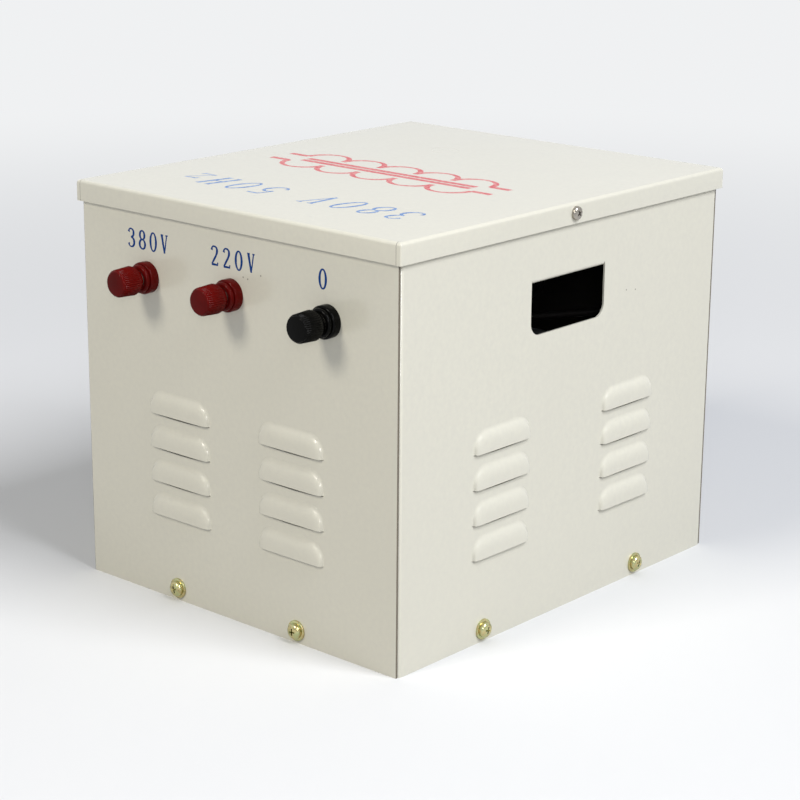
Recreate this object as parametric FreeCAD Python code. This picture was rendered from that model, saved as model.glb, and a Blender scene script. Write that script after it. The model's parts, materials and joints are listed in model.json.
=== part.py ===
import FreeCAD, Part
import math
import os

# Cased dry transformer with binding posts on both end faces.
# Millimetres, +Z up. The origin is the centre of the footprint, on the surface it stands on.
# The high-voltage face looks along -Y, and the carrying slots are in the two faces along X.

V = FreeCAD.Vector

# Case
BODY_WIDTH = 256.0
BODY_DEPTH = 300.0
HEIGHT = 250.0
SHEET = 1.2
BEND_INNER = 1.0
LID_SKIRT = 12.8
LID_GAP = 1.2
LID_CORNER = 0.8
RETURN_FLANGE = 20.0
TOP_LIP = 12.0
SEAM_INSET = 1.0
LIP_RELIEF = 4.0
PAN_SHEET = 1.5
PAN_FLANGE = 20.0
PAN_CORNER_RELIEF = 6.0
FOLD_CLEARANCE = 2.0

# Pressed louvres, the same tool on all four faces
LOUVRE_LENGTH = 50.0
LOUVRE_HEIGHT = 11.0
LOUVRE_PROUD = 2.1
LOUVRE_BLEND = 6.5
LOUVRE_ROWS = 4
LOUVRE_PITCH = 21.25
LOUVRE_FIRST_Z = 50.6
LOUVRE_END_OFFSET = 46.0
LOUVRE_SIDE_OFFSET = 60.5

# Carrying slots
SLOT_WIDTH = 70.0
SLOT_HEIGHT = 31.0
SLOT_DROP = 43.0
SLOT_Y = -1.5
SLOT_CORNER = 8.0
SLOT_TOP_CORNER = 0.8
FLAP_LENGTH = 27.0
FLAP_SIDE_GAP = 0.6

# Binding posts, named as seen from outside the face that they stand on
POST_LEFT_X = -71.0
POST_MIDDLE_X = -0.5
POST_RIGHT_X = 75.5
POST_LEFT_DROP = 51.2
POST_MIDDLE_DROP = 50.2
POST_RIGHT_DROP = 52.4
STUD_DIAMETER = 6.0
STUD_INSIDE = 21.0
STUD_OUTSIDE = 22.0
STUD_BEVEL = 0.6
FLANGE_DIAMETER = 19.2
FLANGE_THICK = 5.5
FLANGE_EDGE = 1.0
NECK_DIAMETER = 15.8
NECK_LENGTH = 0.7
COLLAR_DIAMETER = 17.0
COLLAR_LENGTH = 2.2
COLLAR_EDGE = 1.4
BOSS_DIAMETER = 12.0
BOSS_REACH = 1.0
RING_DIAMETER = 12.6
RING_THICK = 1.3
RING_EDGE = 0.4
CAP_FOOT_DIAMETER = 13.8
CAP_DIAMETER = 17.6
CAP_TIP_DIAMETER = 16.4
CAP_END_DIAMETER = 14.4
CAP_CONE = 3.45
CAP_GRIP = 11.2
CAP_BEVEL = 1.2
CAP_BORE_SPARE = 1.0
KNURL_COUNT = 40
KNURL_DEPTH = 0.45
BUSH_THICK = 4.0
BUSH_EDGE = 1.0
LUG_DIAMETER = 12.0
LUG_THICK = 1.5
BARREL_DIAMETER = 6.6
BARREL_LENGTH = 9.0
BARREL_DROP = 9.0
BARREL_STOP = 1.0

# Fasteners
PAN_HEAD_RIM = 0.55
RECESS_DEPTH = 0.55
RECESS_TURN = 20.0
BASE_SCREW = {"shank": 5.0, "head": 9.5, "head_height": 3.3, "length": 10.0, "slot": 1.2, "cross": 5.4}
LID_SCREW = {"shank": 4.0, "head": 8.2, "head_height": 2.8, "length": 8.0, "slot": 1.0, "cross": 4.6}
BASE_WASHER_DIAMETER = 12.5
BASE_WASHER_THICK = 1.1
BASE_SCREW_Z = 7.8
BASE_SCREW_END_OFFSET = 50.0
BASE_SCREW_SIDE_OFFSET = 75.0
WELD_NUT = {"flats": 8.0, "thick": 4.0}
POST_NUT = {"flats": 10.0, "thick": 4.5}
POST_WASHER_DIAMETER = 12.0
POST_WASHER_THICK = 1.2
CORE_BOLT_DIAMETER = 8.0
CORE_NUT = {"flats": 13.0, "thick": 6.5}
CORE_HEAD = {"flats": 13.0, "thick": 5.3}
CORE_WASHER_DIAMETER = 16.0
CORE_WASHER_THICK = 1.6
CORE_BOLT_SPARE = 3.0
PAN_STUD_DIAMETER = 6.0
PAN_STUD_HEAD = 9.0
PAN_STUD_X = 45.0
PAN_STUD_SPARE = 2.0

# Core, coil and clamps
CORE_WIDTH = 180.0
CORE_DEPTH = 90.0
CORE_HEADROOM = 100.0
YOKE = 30.0
CENTRE_LEG = 60.0
WINDOW_WIDTH = 30.0
FORMER_WALL = 2.0
FORMER_CLEARANCE = 0.5
FORMER_REACH = 29.0
FORMER_CORNER = 2.0
CHEEK_CORNER = 6.0
PRIMARY_BUILD = 12.0
BARRIER_THICK = 0.8
SECONDARY_BUILD = 12.0
WRAP_THICK = 0.6
ANGLE_LEG = 25.0
ANGLE_THICK = 3.0
LEAD_DIAMETER = 4.6
LEAD_SPREAD = 26.0
LEAD_RISE = 30.0
LEAD_BEND = 13.0

# Clearances between pieces
THREAD_FIT = 0.05
HOLE_CLEARANCE = 0.2
PLAY = 0.05

# Places that follow from the sizes above
HALF_W = BODY_WIDTH / 2
HALF_D = BODY_DEPTH / 2
BEND_OUTER = BEND_INNER + SHEET
BODY_TOP = HEIGHT - SHEET
SKIRT_BOTTOM = HEIGHT - LID_SKIRT
LID_OUT = LID_GAP + SHEET
SLOT_TOP_Z = HEIGHT - SLOT_DROP
POST_SPOT = {"left": (POST_LEFT_X, HEIGHT - POST_LEFT_DROP),
             "middle": (POST_MIDDLE_X, HEIGHT - POST_MIDDLE_DROP),
             "right": (POST_RIGHT_X, HEIGHT - POST_RIGHT_DROP)}
COLLAR_TOP = FLANGE_THICK + NECK_LENGTH + COLLAR_LENGTH
CAP_FOOT = COLLAR_TOP + RING_THICK + PLAY
CAP_END = CAP_FOOT + CAP_CONE + CAP_GRIP + CAP_BEVEL
BUSH_BACK = -SHEET - BUSH_THICK
WASHER_BACK = BUSH_BACK - POST_WASHER_THICK
FIRST_NUT_BACK = WASHER_BACK - POST_NUT["thick"]
LUG_BACK = FIRST_NUT_BACK - LUG_THICK
CORE_BOTTOM = PAN_SHEET
CORE_TOP = CORE_BOTTOM + HEIGHT - CORE_HEADROOM
WINDOW_BOTTOM = CORE_BOTTOM + YOKE
WINDOW_TOP = CORE_TOP - YOKE
OUTER_LEG = (CORE_WIDTH - CENTRE_LEG) / 2 - WINDOW_WIDTH
CORE_BOLT_X = CORE_WIDTH / 2 - OUTER_LEG / 2
FORMER_BOTTOM = WINDOW_BOTTOM + FORMER_CLEARANCE
FORMER_TOP = WINDOW_TOP - FORMER_CLEARANCE
BIG = 2 * (BODY_WIDTH + BODY_DEPTH + HEIGHT)
THROUGH = 8.0


# Shape helpers

def block(x0, x1, y0, y1, z0, z1):
    return Part.makeBox(x1 - x0, y1 - y0, z1 - z0, V(x0, y0, z0))


def rod(diameter, start, end):
    along = end.sub(start)
    return Part.makeCylinder(diameter / 2, along.Length, start, along)


def tangent_path(points, radii, closed=False):
    """Edges through the points: straight runs, with an arc of the given radius at each corner."""
    count = len(points)
    corners = range(count) if closed else range(1, count - 1)
    arcs = {}
    for i in corners:
        radius = radii[i]
        here = points[i]
        back = points[i - 1].sub(here)
        ahead = points[(i + 1) % count].sub(here)
        back.normalize()
        ahead.normalize()
        half = back.getAngle(ahead) / 2
        if radius <= 0 or abs(half - math.pi / 2) < 1e-6:
            arcs[i] = (here, None, here)
            continue
        reach = radius / math.tan(half)
        middle = back.add(ahead)
        middle.normalize()
        crown = here.add(middle * (radius / math.sin(half) - radius))
        arcs[i] = (here.add(back * reach), crown, here.add(ahead * reach))
    edges = []
    stretches = count if closed else count - 1
    for i in range(stretches):
        following = (i + 1) % count
        start = arcs[i][2] if i in arcs else points[i]
        end = arcs[following][0] if following in arcs else points[following]
        if end.sub(start).Length > 1e-6:
            edges.append(Part.LineSegment(start, end).toShape())
        if following in arcs and arcs[following][1] is not None:
            entry, crown, leave = arcs[following]
            edges.append(Part.Arc(entry, crown, leave).toShape())
    return edges


def turned(profile):
    """A body of revolution about Z from corners given as (radius, height, corner radius)."""
    points = [V(r, 0, h) for r, h, _ in profile]
    edges = tangent_path(points, [c for _, _, c in profile], closed=True)
    face = Part.Face(Part.Wire(edges))
    return face.revolve(V(0, 0, 0), V(0, 0, 1), 360)


def rounded_prism(half_x, half_y, corner, z0, z1):
    points = [V(half_x, half_y, z0), V(-half_x, half_y, z0), V(-half_x, -half_y, z0), V(half_x, -half_y, z0)]
    edges = tangent_path(points, [corner] * 4, closed=True)
    return Part.Face(Part.Wire(edges)).extrude(V(0, 0, z1 - z0))


def hexagon(flats, height, base=0.0):
    across = flats / math.cos(math.radians(30))
    turns = [math.radians(60 * i) for i in range(6)]
    corners = [V(across / 2 * math.cos(turn), across / 2 * math.sin(turn), base) for turn in turns]
    outline = Part.makePolygon(corners + corners[:1])
    return Part.Face(outline).extrude(V(0, 0, height))


def hex_nut(size, bore, base=0.0):
    """A nut from its base upwards, with both ends bevelled to the width across flats."""
    corner = size["flats"] / 2 / math.cos(math.radians(30))
    bevel = corner - size["flats"] / 2
    top = base + size["thick"]
    cone = turned([(0, base, 0), (size["flats"] / 2, base, 0), (corner, base + bevel / 2, 0),
                   (corner, top - bevel / 2, 0), (size["flats"] / 2, top, 0), (0, top, 0)])
    body = hexagon(size["flats"], size["thick"], base).common(cone)
    return body.cut(Part.makeCylinder(bore / 2, 2 * size["thick"], V(0, 0, base - size["thick"] / 2)))


def fillet_where(shape, radius, chosen):
    return shape.makeFillet(radius, [edge for edge in shape.Edges if chosen(edge.CenterOfMass)])


def at(value, place):
    return abs(value - place) < 1e-3


def on_face(shape, across, up, turn, out):
    """Place a piece built along +Z at a point on an upright face.

    across and up are the place on the face, out is how far the face lies from the origin,
    and turn is the face's heading in degrees: 0 looks along -Y, 90 along +X, 180 along +Y.
    """
    placed = shape.copy()
    placed.rotate(V(0, 0, 0), V(1, 0, 0), 90)
    placed.translate(V(across, -out, up))
    placed.rotate(V(0, 0, 0), V(0, 0, 1), turn)
    return placed


def half_turned(shape):
    turned_copy = shape.copy()
    turned_copy.rotate(V(0, 0, 0), V(0, 0, 1), 180)
    return turned_copy


def solids_together(pieces):
    return Part.makeCompound(pieces)


# Places of what repeats

END_FACE = {"front": 0, "rear": 180}
SIDE_FACE = {"right": 90, "left": 270}
LOUVRE_Z = [LOUVRE_FIRST_Z + LOUVRE_PITCH * row for row in range(LOUVRE_ROWS)]
BASE_SCREW_SPOTS = [(sign * BASE_SCREW_END_OFFSET, turn, HALF_D)
                    for turn in END_FACE.values() for sign in (-1, 1)]
BASE_SCREW_SPOTS += [(sign * BASE_SCREW_SIDE_OFFSET, turn, HALF_W)
                     for turn in SIDE_FACE.values() for sign in (-1, 1)]


# Sheet-metal case

def louvre_section(blend):
    """Half of a hood cut down its middle: the sheet rises out of the panel, rolls over and ends level.

    The panel's outer face is the plane y = 0. Heights are measured from the lip, and the sheet keeps
    its thickness all the way: a convex arc from the lip meets a concave one that ends in the panel.
    """
    both = (LOUVRE_HEIGHT ** 2 + LOUVRE_PROUD ** 2) / (2 * LOUVRE_PROUD)
    roll = both - blend
    centre = V(0, roll - LOUVRE_PROUD, 0)
    blend_centre = V(0, -blend, LOUVRE_HEIGHT)
    towards = blend_centre.sub(centre)
    towards.normalize()
    rise = math.atan2(towards.z, -towards.y)

    def around(middle, radius, angle):
        return middle.add(V(0, -radius * math.cos(angle), radius * math.sin(angle)))

    edges = []
    for inset in (0, SHEET):
        lip = around(centre, roll - inset, 0)
        crown = around(centre, roll - inset, rise / 2)
        turn = around(centre, roll - inset, rise)
        swell = around(blend_centre, -blend - inset, rise / 2)
        root = around(blend_centre, -blend - inset, 0)
        edges.append([Part.Arc(lip, crown, turn).toShape(), Part.Arc(turn, swell, root).toShape()])
    outer, inner = edges
    ends = [Part.LineSegment(V(0, -LOUVRE_PROUD, 0), V(0, SHEET - LOUVRE_PROUD, 0)).toShape(),
            Part.LineSegment(V(0, 0, LOUVRE_HEIGHT), V(0, SHEET, LOUVRE_HEIGHT)).toShape()]
    return Part.Face(Part.Wire(Part.sortEdges(outer + inner + ends)[0]))


def louvre_tool():
    """One pressed hood, and the patch of panel that it is raised from."""
    straight = LOUVRE_LENGTH - 2 * LOUVRE_HEIGHT
    section = louvre_section(LOUVRE_BLEND)
    middle = section.extrude(V(straight, 0, 0))
    middle.translate(V(-straight / 2, 0, 0))
    pieces = [middle]
    patch = block(-straight / 2, straight / 2, 0, SHEET, 0, LOUVRE_HEIGHT)
    for side in (-1, 1):
        end = section.revolve(V(0, 0, 0), V(0, 1, 0), 90 * side)
        pieces.append(end.translated(V(side * straight / 2, 0, 0)))
        disc = Part.makeCylinder(LOUVRE_HEIGHT, SHEET, V(side * straight / 2, 0, 0), V(0, 1, 0))
        patch = patch.fuse(disc.common(block(-BIG, BIG, -BIG, BIG, 0, BIG)))
    hood = pieces[0].fuse(pieces[1:]).removeSplitter()
    return hood, patch.removeSplitter()


def press_louvres(panel, offset):
    """Press both columns of louvres into a panel whose outer face is the plane y = 0."""
    hood, patch = louvre_tool()
    spots = [V(side * offset, 0, z) for side in (-1, 1) for z in LOUVRE_Z]
    opened = panel.cut([patch.translated(spot) for spot in spots])
    return opened.fuse([hood.translated(spot) for spot in spots]).removeSplitter()


def base_screw_holes():
    holes = []
    for across, turn, out in BASE_SCREW_SPOTS:
        hole = Part.makeCylinder(BASE_SCREW["shank"] / 2 + HOLE_CLEARANCE, 2 * THROUGH, V(0, 0, -THROUGH))
        holes.append(on_face(hole, across, BASE_SCREW_Z, turn, out))
    return holes


def end_panel():
    """The front panel: a flat sheet with a lip folded in along its top edge."""
    half = HALF_W - SEAM_INSET
    sheet = block(-half, half, 0, TOP_LIP, 0, BODY_TOP)
    sheet = fillet_where(sheet, BEND_OUTER, lambda c: at(c.y, 0) and at(c.z, BODY_TOP))
    space = block(-BIG, BIG, SHEET, BIG, -BIG, BODY_TOP - SHEET)
    space = fillet_where(space, BEND_INNER, lambda c: at(c.y, SHEET) and at(c.z, BODY_TOP - SHEET))
    panel = sheet.cut(space)
    lip_half = HALF_W - LIP_RELIEF
    for side in (-1, 1):
        relief = block(min(side * lip_half, side * BIG), max(side * lip_half, side * BIG),
                       SHEET, BIG, BODY_TOP - BEND_OUTER - SHEET, BIG)
        panel = panel.cut(relief)
    panel = press_louvres(panel, LOUVRE_END_OFFSET)
    panel.translate(V(0, -HALF_D, 0))
    post_hole = Part.makeCylinder(BOSS_DIAMETER / 2 + THREAD_FIT, 2 * THROUGH, V(0, 0, -THROUGH))
    post_holes = [on_face(post_hole, x, z, END_FACE["front"], HALF_D) for x, z in POST_SPOT.values()]
    return panel.cut(post_holes + base_screw_holes())


def slot_outline(side_gap, length, top_corner):
    """The slot or its flap seen from outside, hanging from z = 0, with its free end rounded."""
    half = SLOT_WIDTH / 2 - side_gap
    points = [V(-half, 0, 0), V(half, 0, 0), V(half, 0, -length), V(-half, 0, -length)]
    edges = tangent_path(points, [top_corner, top_corner, SLOT_CORNER, SLOT_CORNER], closed=True)
    return Part.Face(Part.Wire(edges))


def side_panel():
    """The right panel: bent round both corners, with a lip at the top and a carrying flap pressed in."""
    half = HALF_D - SHEET
    depth = RETURN_FLANGE
    sheet = block(-half, half, 0, depth, 0, BODY_TOP)
    sheet = fillet_where(sheet, BEND_OUTER,
                         lambda c: at(c.y, 0) and (at(abs(c.x), half) or at(c.z, BODY_TOP)))
    space = block(-half + SHEET, half - SHEET, SHEET, BIG, -BIG, BODY_TOP - SHEET)
    inside = half - SHEET
    space = fillet_where(space, BEND_INNER,
                         lambda c: at(c.y, SHEET) and (at(abs(c.x), inside) or at(c.z, BODY_TOP - SHEET)))
    panel = sheet.cut(space)
    panel = panel.cut(block(-BIG, BIG, TOP_LIP, BIG, BODY_TOP - SHEET - BEND_INNER, BIG))
    lip_half = HALF_D - TOP_LIP - FOLD_CLEARANCE
    foot = PAN_FLANGE + FOLD_CLEARANCE
    head = BODY_TOP - TOP_LIP
    for side in (-1, 1):
        low, high = sorted((side * lip_half, side * BIG))
        panel = panel.cut(block(low, high, BEND_OUTER, BIG, head, BIG))
        panel = panel.cut(block(low, high, BEND_OUTER, BIG, -BIG, foot))
    slot = slot_outline(0, SLOT_HEIGHT + BEND_OUTER, SLOT_TOP_CORNER).extrude(V(0, 2 * THROUGH, 0))
    slot.translate(V(SLOT_Y, -THROUGH, SLOT_TOP_Z + BEND_OUTER))
    panel = panel.cut(slot)
    panel = panel.fuse(carrying_flap()).removeSplitter()
    panel = press_louvres(panel, LOUVRE_SIDE_OFFSET)
    panel.translate(V(0, -HALF_W, 0))
    panel.rotate(V(0, 0, 0), V(0, 0, 1), SIDE_FACE["right"])
    return panel.cut(base_screw_holes() + lid_screw_holes(THREAD_FIT))


def carrying_flap():
    """The tongue cut from the slot and folded in at its top edge, as a grip for the fingers."""
    half = SLOT_WIDTH / 2 - FLAP_SIDE_GAP
    root = SLOT_TOP_Z + 2 * BEND_OUTER
    strip = block(-half, half, 0, FLAP_LENGTH, SLOT_TOP_Z, root)
    strip = fillet_where(strip, BEND_OUTER, lambda c: at(c.y, 0) and at(c.z, SLOT_TOP_Z))
    space = block(-BIG, BIG, SHEET, BIG, SLOT_TOP_Z + SHEET, BIG)
    space = fillet_where(space, BEND_INNER, lambda c: at(c.y, SHEET) and at(c.z, SLOT_TOP_Z + SHEET))
    strip = strip.cut(space)
    outline = slot_outline(FLAP_SIDE_GAP, FLAP_LENGTH, 0).extrude(V(0, root - SLOT_TOP_Z, 0))
    outline.rotate(V(0, 0, 0), V(1, 0, 0), 90)
    outline.translate(V(0, 0, SLOT_TOP_Z))
    strip = strip.common(outline)
    strip.translate(V(SLOT_Y, 0, 0))
    return strip


def lid_screw_holes(clearance):
    holes = []
    for turn in SIDE_FACE.values():
        hole = Part.makeCylinder(LID_SCREW["shank"] / 2 + clearance, 2 * THROUGH, V(0, 0, -THROUGH))
        holes.append(on_face(hole, 0, HEIGHT - LID_SKIRT / 2, turn, HALF_W))
    return holes


def lid():
    """A shallow folded pan over the top of the body, with closed corners."""
    out_x = HALF_W + LID_OUT
    out_y = HALF_D + LID_OUT
    cover = block(-out_x, out_x, -out_y, out_y, SKIRT_BOTTOM, HEIGHT)
    cover = fillet_where(cover, LID_CORNER, lambda c: at(abs(c.x), out_x) and at(abs(c.y), out_y))
    cover = fillet_where(cover, BEND_OUTER,
                         lambda c: c.z > HEIGHT - LID_CORNER and (abs(c.x) > HALF_W or abs(c.y) > HALF_D))
    in_x = out_x - SHEET
    in_y = out_y - SHEET
    space = block(-in_x, in_x, -in_y, in_y, -BIG, BODY_TOP)
    space = fillet_where(space, BEND_INNER,
                         lambda c: at(c.z, BODY_TOP) and (at(abs(c.x), in_x) or at(abs(c.y), in_y)))
    return cover.cut([space] + lid_screw_holes(HOLE_CLEARANCE))


def base_pan():
    """The tray that carries the core: a floor with four flanges turned up inside the panels."""
    out_x = HALF_W - SHEET
    out_y = HALF_D - SHEET
    tray = block(-out_x, out_x, -out_y, out_y, 0, PAN_FLANGE)
    bend = BEND_INNER + PAN_SHEET
    tray = fillet_where(tray, bend, lambda c: at(c.z, 0))
    in_x = out_x - PAN_SHEET
    in_y = out_y - PAN_SHEET
    space = block(-in_x, in_x, -in_y, in_y, PAN_SHEET, BIG)
    space = fillet_where(space, BEND_INNER, lambda c: at(c.z, PAN_SHEET))
    tray = tray.cut(space)
    relief_x = out_x - PAN_CORNER_RELIEF
    relief_y = out_y - PAN_CORNER_RELIEF
    corners = []
    for side_x in (-1, 1):
        for side_y in (-1, 1):
            x0, x1 = sorted((side_x * relief_x, side_x * BIG))
            y0, y1 = sorted((side_y * relief_y, side_y * BIG))
            corners.append(block(x0, x1, y0, y1, -BIG, BIG))
    stud_holes = [Part.makeCylinder(PAN_STUD_HEAD / 2 + THREAD_FIT, 2 * THROUGH, V(x, y, -THROUGH))
                  for x, y in pan_stud_spots()]
    return tray.cut(corners + stud_holes + base_screw_holes())


# Screws and washers of the case

def pan_head_screw(size, grip):
    """A cross-recess screw, its head above z = 0 and its shank below, past the grip."""
    radius = size["head"] / 2
    height = size["head_height"]
    head = turned([(0, 0, 0), (radius, 0, 0), (radius, height, height * PAN_HEAD_RIM), (0, height, 0)])
    shank = Part.makeCylinder(size["shank"] / 2, size["length"] + grip, V(0, 0, -size["length"] - grip))
    screw = head.fuse(shank)
    half_long = size["cross"] / 2
    half_wide = size["slot"] / 2
    floor = height * (1 - RECESS_DEPTH)
    arms = [block(-half_long, half_long, -half_wide, half_wide, floor, 2 * height),
            block(-half_wide, half_wide, -half_long, half_long, floor, 2 * height)]
    recess = arms[0].fuse(arms[1]).removeSplitter()
    recess.rotate(V(0, 0, 0), V(0, 0, 1), RECESS_TURN)
    return screw.cut(recess)


def base_screws():
    screw = pan_head_screw(BASE_SCREW, 0)
    return solids_together([on_face(screw, across, BASE_SCREW_Z, turn, out + BASE_WASHER_THICK)
                            for across, turn, out in BASE_SCREW_SPOTS])


def base_washers():
    disc = Part.makeCylinder(BASE_WASHER_DIAMETER / 2, BASE_WASHER_THICK)
    washer = disc.cut(Part.makeCylinder(BASE_SCREW["shank"] / 2 + HOLE_CLEARANCE, BASE_WASHER_THICK))
    return solids_together([on_face(washer, across, BASE_SCREW_Z, turn, out)
                            for across, turn, out in BASE_SCREW_SPOTS])


def weld_nuts():
    """Nuts welded behind the pan flanges, where the base screws end."""
    nut = hex_nut(WELD_NUT, BASE_SCREW["shank"] + 2 * THREAD_FIT, -WELD_NUT["thick"])
    return solids_together([on_face(nut, across, BASE_SCREW_Z, turn, out - SHEET - PAN_SHEET)
                            for across, turn, out in BASE_SCREW_SPOTS])


def lid_screws():
    screw = pan_head_screw(LID_SCREW, LID_GAP)
    return solids_together([on_face(screw, 0, HEIGHT - LID_SKIRT / 2, turn, HALF_W + LID_OUT)
                            for turn in SIDE_FACE.values()])


# Binding posts, each built along +Z with the panel's outer face at z = 0

def post_collar():
    """The moulded insulator: flange, neck, collar and the boss that goes through the panel."""
    bore = STUD_DIAMETER / 2 + THREAD_FIT
    boss_end = -SHEET - BOSS_REACH
    return turned([(bore, boss_end, 0), (BOSS_DIAMETER / 2, boss_end, 0), (BOSS_DIAMETER / 2, 0, 0),
                   (FLANGE_DIAMETER / 2, 0, 0), (FLANGE_DIAMETER / 2, FLANGE_THICK, FLANGE_EDGE),
                   (NECK_DIAMETER / 2, FLANGE_THICK, 0), (NECK_DIAMETER / 2, FLANGE_THICK + NECK_LENGTH, 0),
                   (COLLAR_DIAMETER / 2, FLANGE_THICK + NECK_LENGTH, 0),
                   (COLLAR_DIAMETER / 2, COLLAR_TOP, COLLAR_EDGE), (bore, COLLAR_TOP, 0)])


def post_stud():
    radius = STUD_DIAMETER / 2
    tip = radius - STUD_BEVEL
    return turned([(0, -STUD_INSIDE, 0), (tip, -STUD_INSIDE, 0), (radius, STUD_BEVEL - STUD_INSIDE, 0),
                   (radius, STUD_OUTSIDE - STUD_BEVEL, 0), (tip, STUD_OUTSIDE, 0), (0, STUD_OUTSIDE, 0)])


def post_ring():
    """The plated clamping ring between the collar and the cap."""
    bore = STUD_DIAMETER / 2 + THREAD_FIT
    top = COLLAR_TOP + RING_THICK
    return turned([(bore, COLLAR_TOP, 0), (RING_DIAMETER / 2, COLLAR_TOP, RING_EDGE),
                   (RING_DIAMETER / 2, top, RING_EDGE), (bore, top, 0)])


def fluted_outline(tip, height):
    """The outline of the grip at one height: ridges at the tip radius, with flutes between them."""
    corners = []
    for i in range(2 * KNURL_COUNT):
        radius = tip if i % 2 == 0 else tip - KNURL_DEPTH
        angle = math.pi * i / KNURL_COUNT
        corners.append(V(radius * math.cos(angle), radius * math.sin(angle), height))
    return Part.makePolygon(corners + corners[:1])


def post_cap():
    """The moulded cap: a plain cone at its foot, a slightly tapering fluted grip and a bevelled flat end."""
    wide = CAP_DIAMETER / 2
    narrow = CAP_TIP_DIAMETER / 2
    taper = (wide - narrow) / CAP_GRIP
    grip = Part.makeLoft([fluted_outline(wide + taper * CAP_CONE, CAP_FOOT),
                          fluted_outline(narrow - taper * CAP_BEVEL, CAP_END)], True, True)
    foot = CAP_FOOT_DIAMETER / 2
    end = CAP_END_DIAMETER / 2
    outside = wide + KNURL_DEPTH
    cone_top = CAP_FOOT + CAP_CONE * (outside - foot) / (wide - foot)
    bevel_bottom = CAP_END - CAP_BEVEL * (outside - end) / (narrow - end)
    limits = turned([(0, CAP_FOOT, 0), (foot, CAP_FOOT, 0), (outside, cone_top, 0),
                     (outside, bevel_bottom, 0), (end, CAP_END, 0), (0, CAP_END, 0)])
    bore = Part.makeCylinder(STUD_DIAMETER / 2 + THREAD_FIT, STUD_OUTSIDE + CAP_BORE_SPARE)
    return grip.common(limits).cut(bore)


def post_bush():
    """The insulating bush behind the panel, bored to take the end of the boss."""
    bore = STUD_DIAMETER / 2 + THREAD_FIT
    seat = BOSS_DIAMETER / 2 + THREAD_FIT
    return turned([(bore, BUSH_BACK, 0), (FLANGE_DIAMETER / 2, BUSH_BACK, BUSH_EDGE),
                   (FLANGE_DIAMETER / 2, -SHEET, 0), (seat, -SHEET, 0),
                   (seat, -SHEET - BOSS_REACH, 0), (bore, -SHEET - BOSS_REACH, 0)])


def stud_hole():
    bore = STUD_DIAMETER / 2 + THREAD_FIT
    return Part.makeCylinder(bore, STUD_INSIDE + STUD_OUTSIDE, V(0, 0, -STUD_INSIDE))


def post_lug():
    """A crimped ring lug, with its barrel hanging down beside the post."""
    ring = Part.makeCylinder(LUG_DIAMETER / 2, LUG_THICK, V(0, 0, LUG_BACK))
    barrel_top = -BARREL_DROP
    tongue = block(-BARREL_DIAMETER / 2, BARREL_DIAMETER / 2, barrel_top, 0, LUG_BACK, LUG_BACK + LUG_THICK)
    middle = LUG_BACK + LUG_THICK / 2
    barrel_foot = V(0, barrel_top - BARREL_LENGTH, middle)
    barrel = Part.makeCylinder(BARREL_DIAMETER / 2, BARREL_LENGTH, barrel_foot, V(0, 1, 0))
    lug = ring.fuse([tongue, barrel]).removeSplitter()
    throat = Part.makeCylinder(LEAD_DIAMETER / 2 + PLAY, BARREL_LENGTH - BARREL_STOP, barrel_foot, V(0, 1, 0))
    return lug.cut([throat, stud_hole()])


def post_places():
    """Every post as its name, its place across and up its face, and the face's heading."""
    return [(face + "_" + tap, x, z, turn)
            for face, turn in END_FACE.items() for tap, (x, z) in POST_SPOT.items()]


def on_posts(*like):
    """The same piece or pieces at every post."""
    return solids_together([on_face(piece, x, z, turn, HALF_D)
                            for _, x, z, turn in post_places() for piece in like])


def post_nuts():
    bore = STUD_DIAMETER + 2 * THREAD_FIT
    return on_posts(hex_nut(POST_NUT, bore, FIRST_NUT_BACK),
                    hex_nut(POST_NUT, bore, LUG_BACK - POST_NUT["thick"]))


def post_washer():
    disc = Part.makeCylinder(POST_WASHER_DIAMETER / 2, POST_WASHER_THICK, V(0, 0, WASHER_BACK))
    return disc.cut(stud_hole())


# Core, coil and clamps

def core_bolt_spots():
    low = CORE_BOTTOM + YOKE / 2
    high = CORE_TOP - YOKE / 2
    return [(side * CORE_BOLT_X, z) for side in (-1, 1) for z in (low, high)]


def through_y(diameter):
    """Cylinders along Y at the four core bolts."""
    return [rod(diameter, V(x, -HALF_D, z), V(x, HALF_D, z)) for x, z in core_bolt_spots()]


def core_laminations():
    half = CORE_WIDTH / 2
    stack = CORE_DEPTH / 2
    core = block(-half, half, -stack, stack, CORE_BOTTOM, CORE_TOP)
    inner = CENTRE_LEG / 2
    windows = [block(x, x + WINDOW_WIDTH, -BIG, BIG, WINDOW_BOTTOM, WINDOW_TOP)
               for x in (-inner - WINDOW_WIDTH, inner)]
    return core.cut(windows + through_y(CORE_BOLT_DIAMETER + 2 * HOLE_CLEARANCE))


def coil_layer(inside, build):
    """One layer round the former, from one distance outside the former's tube to the next."""
    half_x = CENTRE_LEG / 2 + FORMER_CLEARANCE + FORMER_WALL
    half_y = CORE_DEPTH / 2 + FORMER_CLEARANCE + FORMER_WALL
    low = FORMER_BOTTOM + FORMER_WALL
    high = FORMER_TOP - FORMER_WALL
    outside = inside + build
    layer = rounded_prism(half_x + outside, half_y + outside, FORMER_CORNER + outside, low, high)
    return layer.cut(rounded_prism(half_x + inside, half_y + inside, FORMER_CORNER + inside, low, high))


def coil_former():
    half_x = CENTRE_LEG / 2 + FORMER_CLEARANCE
    half_y = CORE_DEPTH / 2 + FORMER_CLEARANCE
    tube = rounded_prism(half_x + FORMER_WALL, half_y + FORMER_WALL, FORMER_CORNER, FORMER_BOTTOM, FORMER_TOP)
    reach = FORMER_REACH - FORMER_CLEARANCE
    cheeks = [rounded_prism(half_x + reach, half_y + reach, CHEEK_CORNER, z, z + FORMER_WALL)
              for z in (FORMER_BOTTOM, FORMER_TOP - FORMER_WALL)]
    hole = block(-half_x, half_x, -half_y, half_y, -BIG, BIG)
    return tube.fuse(cheeks).removeSplitter().cut(hole)


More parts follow.
